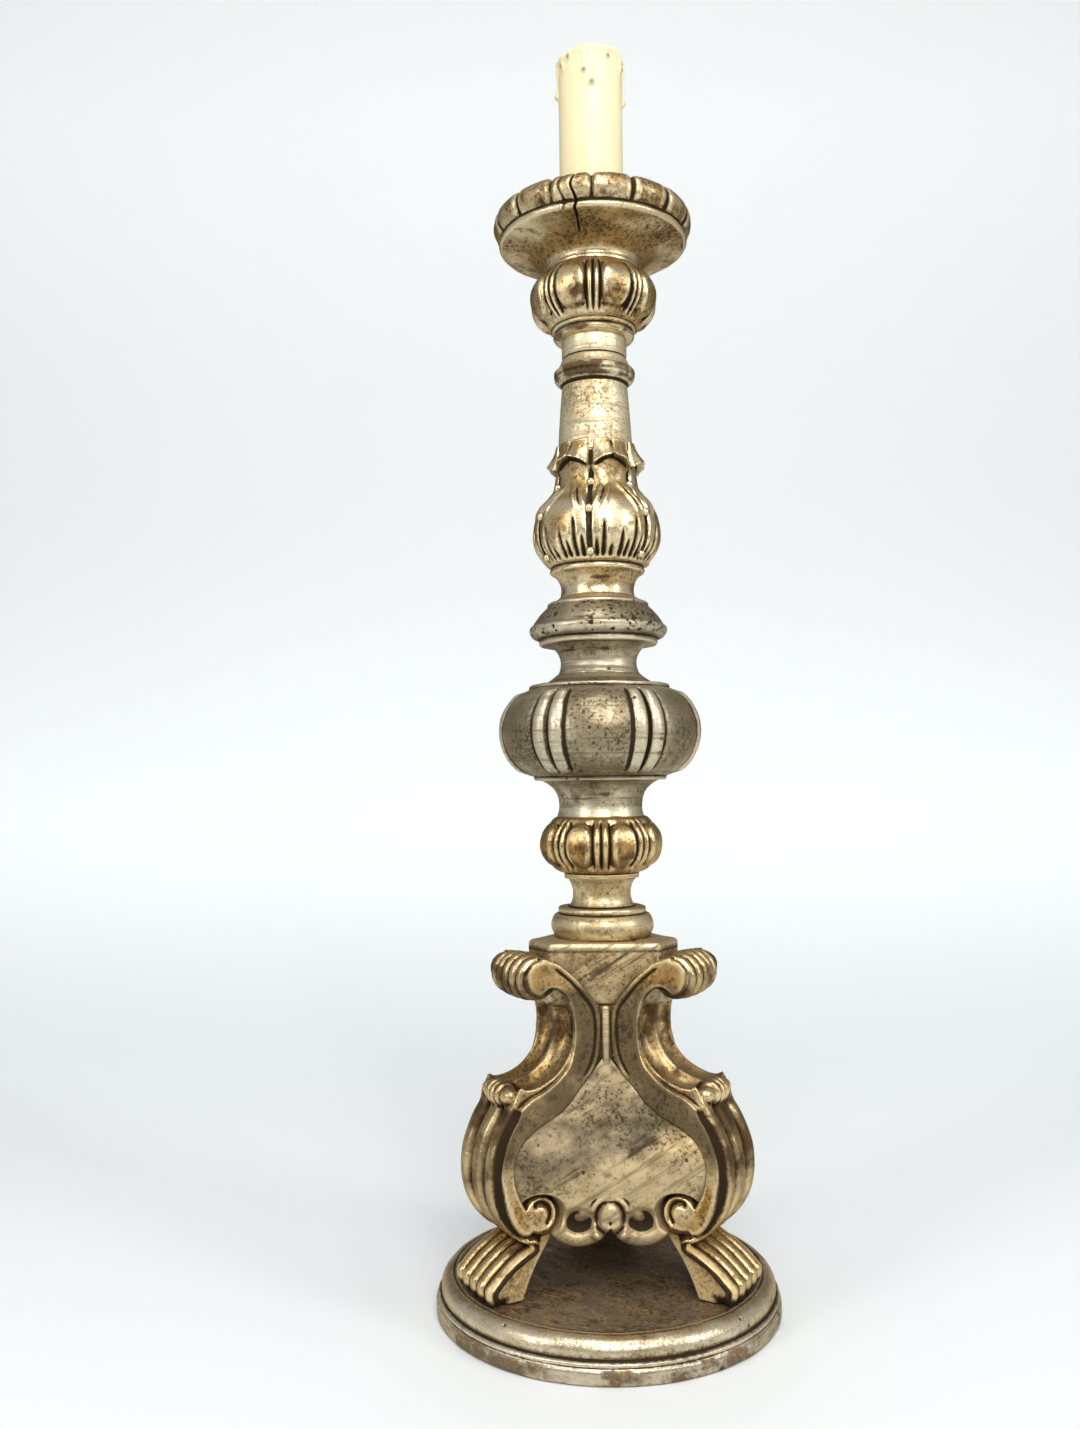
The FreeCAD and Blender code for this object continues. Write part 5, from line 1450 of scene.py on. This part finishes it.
fittings = {
    "foot_dowels": woodFinish, "tie_tube": steelFinish, "bottom_washer": steelFinish,
    "bottom_nut": steelFinish, "top_nut": steelFinish, "holder_bracket": steelFinish,
    "bracket_screws": steelFinish, "holder_body": darkFinish, "screw_shell": brassFinish,
    "centre_contact": brassFinish, "terminal_screws": brassFinish,
}
for node, finish in fittings.items():
    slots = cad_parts[node].data.materials
    slots.clear()
    slots.append(finish)
print("fittings finished")


# Floor, light and camera

stageLook = {"width": 7.0, "front": -2.5, "back": 0.5, "curve": 1.8, "height": 3.6,
             "tone": (0.83, 0.85, 0.85), "floor": (0.745, 0.755, 0.75), "glow": (0.44, 0.45, 0.448),
             "dimming": 0.85, "dimmed": (0.1, 0.1, 0.1)}


def makeStage(look):
    turn = np.radians(np.linspace(-90, 0, 40))
    line = [(look["front"], 0.0)]
    line += [(look["back"] + look["curve"] * math.cos(a), look["curve"] * (1 + math.sin(a))) for a in turn]
    line.append((look["back"] + look["curve"], look["height"]))
    points = [(side * look["width"] / 2, deep, up) for deep, up in line for side in (-1, 1)]
    faces = [(2 * i, 2 * i + 1, 2 * i + 3, 2 * i + 2) for i in range(len(line) - 1)]
    mesh = bpy.data.meshes.new("paper_sweep")
    mesh.from_pydata(points, [], faces)
    mesh.shade_smooth()
    sweep = added("paper_sweep", mesh)
    deep = tuple(0.985 * part for part in look["tone"])
    paper = plainFinish("palePaper", look["tone"], deep, 0.0, 0.8, (3, 3, 3))
    tree = paper.node_tree
    shader = tree.nodes["Principled BSDF"]
    coords = place(tree, "ShaderNodeTexCoord").outputs["Object"]
    spot = place(tree, "ShaderNodeSeparateXYZ", {0: coords}).outputs
    depth, height = spot[1], spot[2]
    far = spread(tree, plus(tree, depth, height), 0.2, 1.5, 0.0, 0.73)
    share = plus(tree, far, spread(tree, height, 0.5, 1.9, 0.0, 0.27))
    glow = mixColours(tree, share, (0.0, 0.0, 0.0, 1.0), (*look["glow"], 1.0))
    # the gilding sees a dimmer room behind it than the lens does, so that its edges stay dark
    mirrored = place(tree, "ShaderNodeLightPath").outputs["Is Glossy Ray"]
    mirrored = times(tree, mirrored, spread(tree, height, 0.02, 0.4, 0.0, look["dimming"]))
    pale = shader.inputs["Base Color"].links[0].from_socket
    pale = mixColours(tree, spread(tree, depth, -0.1, 0.6), (*look["floor"], 1.0), pale)
    feed(tree, shader, {
        "Base Color": mixColours(tree, mirrored, pale, (*look["dimmed"], 1.0)),
        "Emission Color": glow, "Emission Strength": minus(tree, 1.0, mirrored)})
    mesh.materials.append(paper)


makeStage(stageLook)

lampLook = [  # name, place, target, width, height, watts
    ("frontPanel", (0.15, -1.55, 1.05), (0, 0, 0.3), 0.9, 0.7, 15.0),
    ("leftWindow", (-1.05, -0.85, 0.75), (0, 0, 0.25), 0.4, 0.9, 6.0),
    ("rightWindow", (1.15, -0.75, 0.75), (0, 0, 0.25), 0.4, 0.9, 6.5),
    ("topPanel", (0.05, -0.8, 1.6), (0, 0, 0.3), 1.0, 0.7, 10.0),
]
for name, spot, target, wide, tall, watts in lampLook:
    light = bpy.data.lights.new(name, "AREA")
    light.shape = "RECTANGLE"
    light.size, light.size_y, light.energy = wide, tall, watts
    lamp = added(name, light)
    lamp.location = spot
    lamp.rotation_euler = (Vector(target) - Vector(spot)).to_track_quat("-Z", "Y").to_euler()


roomLook = {"near": (0.13, 0.125, 0.12, 1.0), "far": (0.8, 0.84, 0.88, 1.0), "strength": 0.65}


def makeWorld(look):
    # pale room, darker on the camera's side
    world = bpy.data.worlds.new("softRoom")
    bpy.context.scene.world = world
    world.use_nodes = True
    tree = world.node_tree
    aim = place(tree, "ShaderNodeTexCoord").outputs["Generated"]
    depth = place(tree, "ShaderNodeSeparateXYZ", {0: aim}).outputs[1]
    tone = mixColours(tree, spread(tree, depth, -0.95, 0.1), look["near"], look["far"])
    feed(tree, tree.nodes["Background"], {"Color": tone, "Strength": look["strength"]})


makeWorld(roomLook)
view = bpy.context.scene.view_settings  # a crisp print: deep shadows, bright crowns
view.view_transform = "Standard"
view.exposure, view.gamma = 0.12, 0.85

cameraLook = {"focal": 1210.0, "longSide": 1429.0, "sensor": 36.0, "away": 0.5075, "height": 0.2147,
              "pitch": 3.0, "roll": -0.7, "aside": 59.4, "round": 2.0}


def makeCamera(look):
    lens = bpy.data.cameras.new("photoCamera")
    lens.sensor_width = look["sensor"]
    lens.lens = look["sensor"] * look["focal"] / look["longSide"]
    lens.clip_start, lens.clip_end = 0.01, 20.0
    camera = added("photoCamera", lens)
    turn = math.radians(look["round"])
    camera.location = (-look["away"] * math.sin(turn), -look["away"] * math.cos(turn), look["height"])
    yaw = math.atan2(look["aside"], look["focal"]) - turn
    aim = Euler((math.radians(90 + look["pitch"]), 0, yaw)).to_matrix()
    camera.rotation_euler = (aim @ Euler((0, 0, math.radians(look["roll"]))).to_matrix()).to_euler()
    bpy.context.scene.camera = camera


makeCamera(cameraLook)
print("stage, light and camera set")
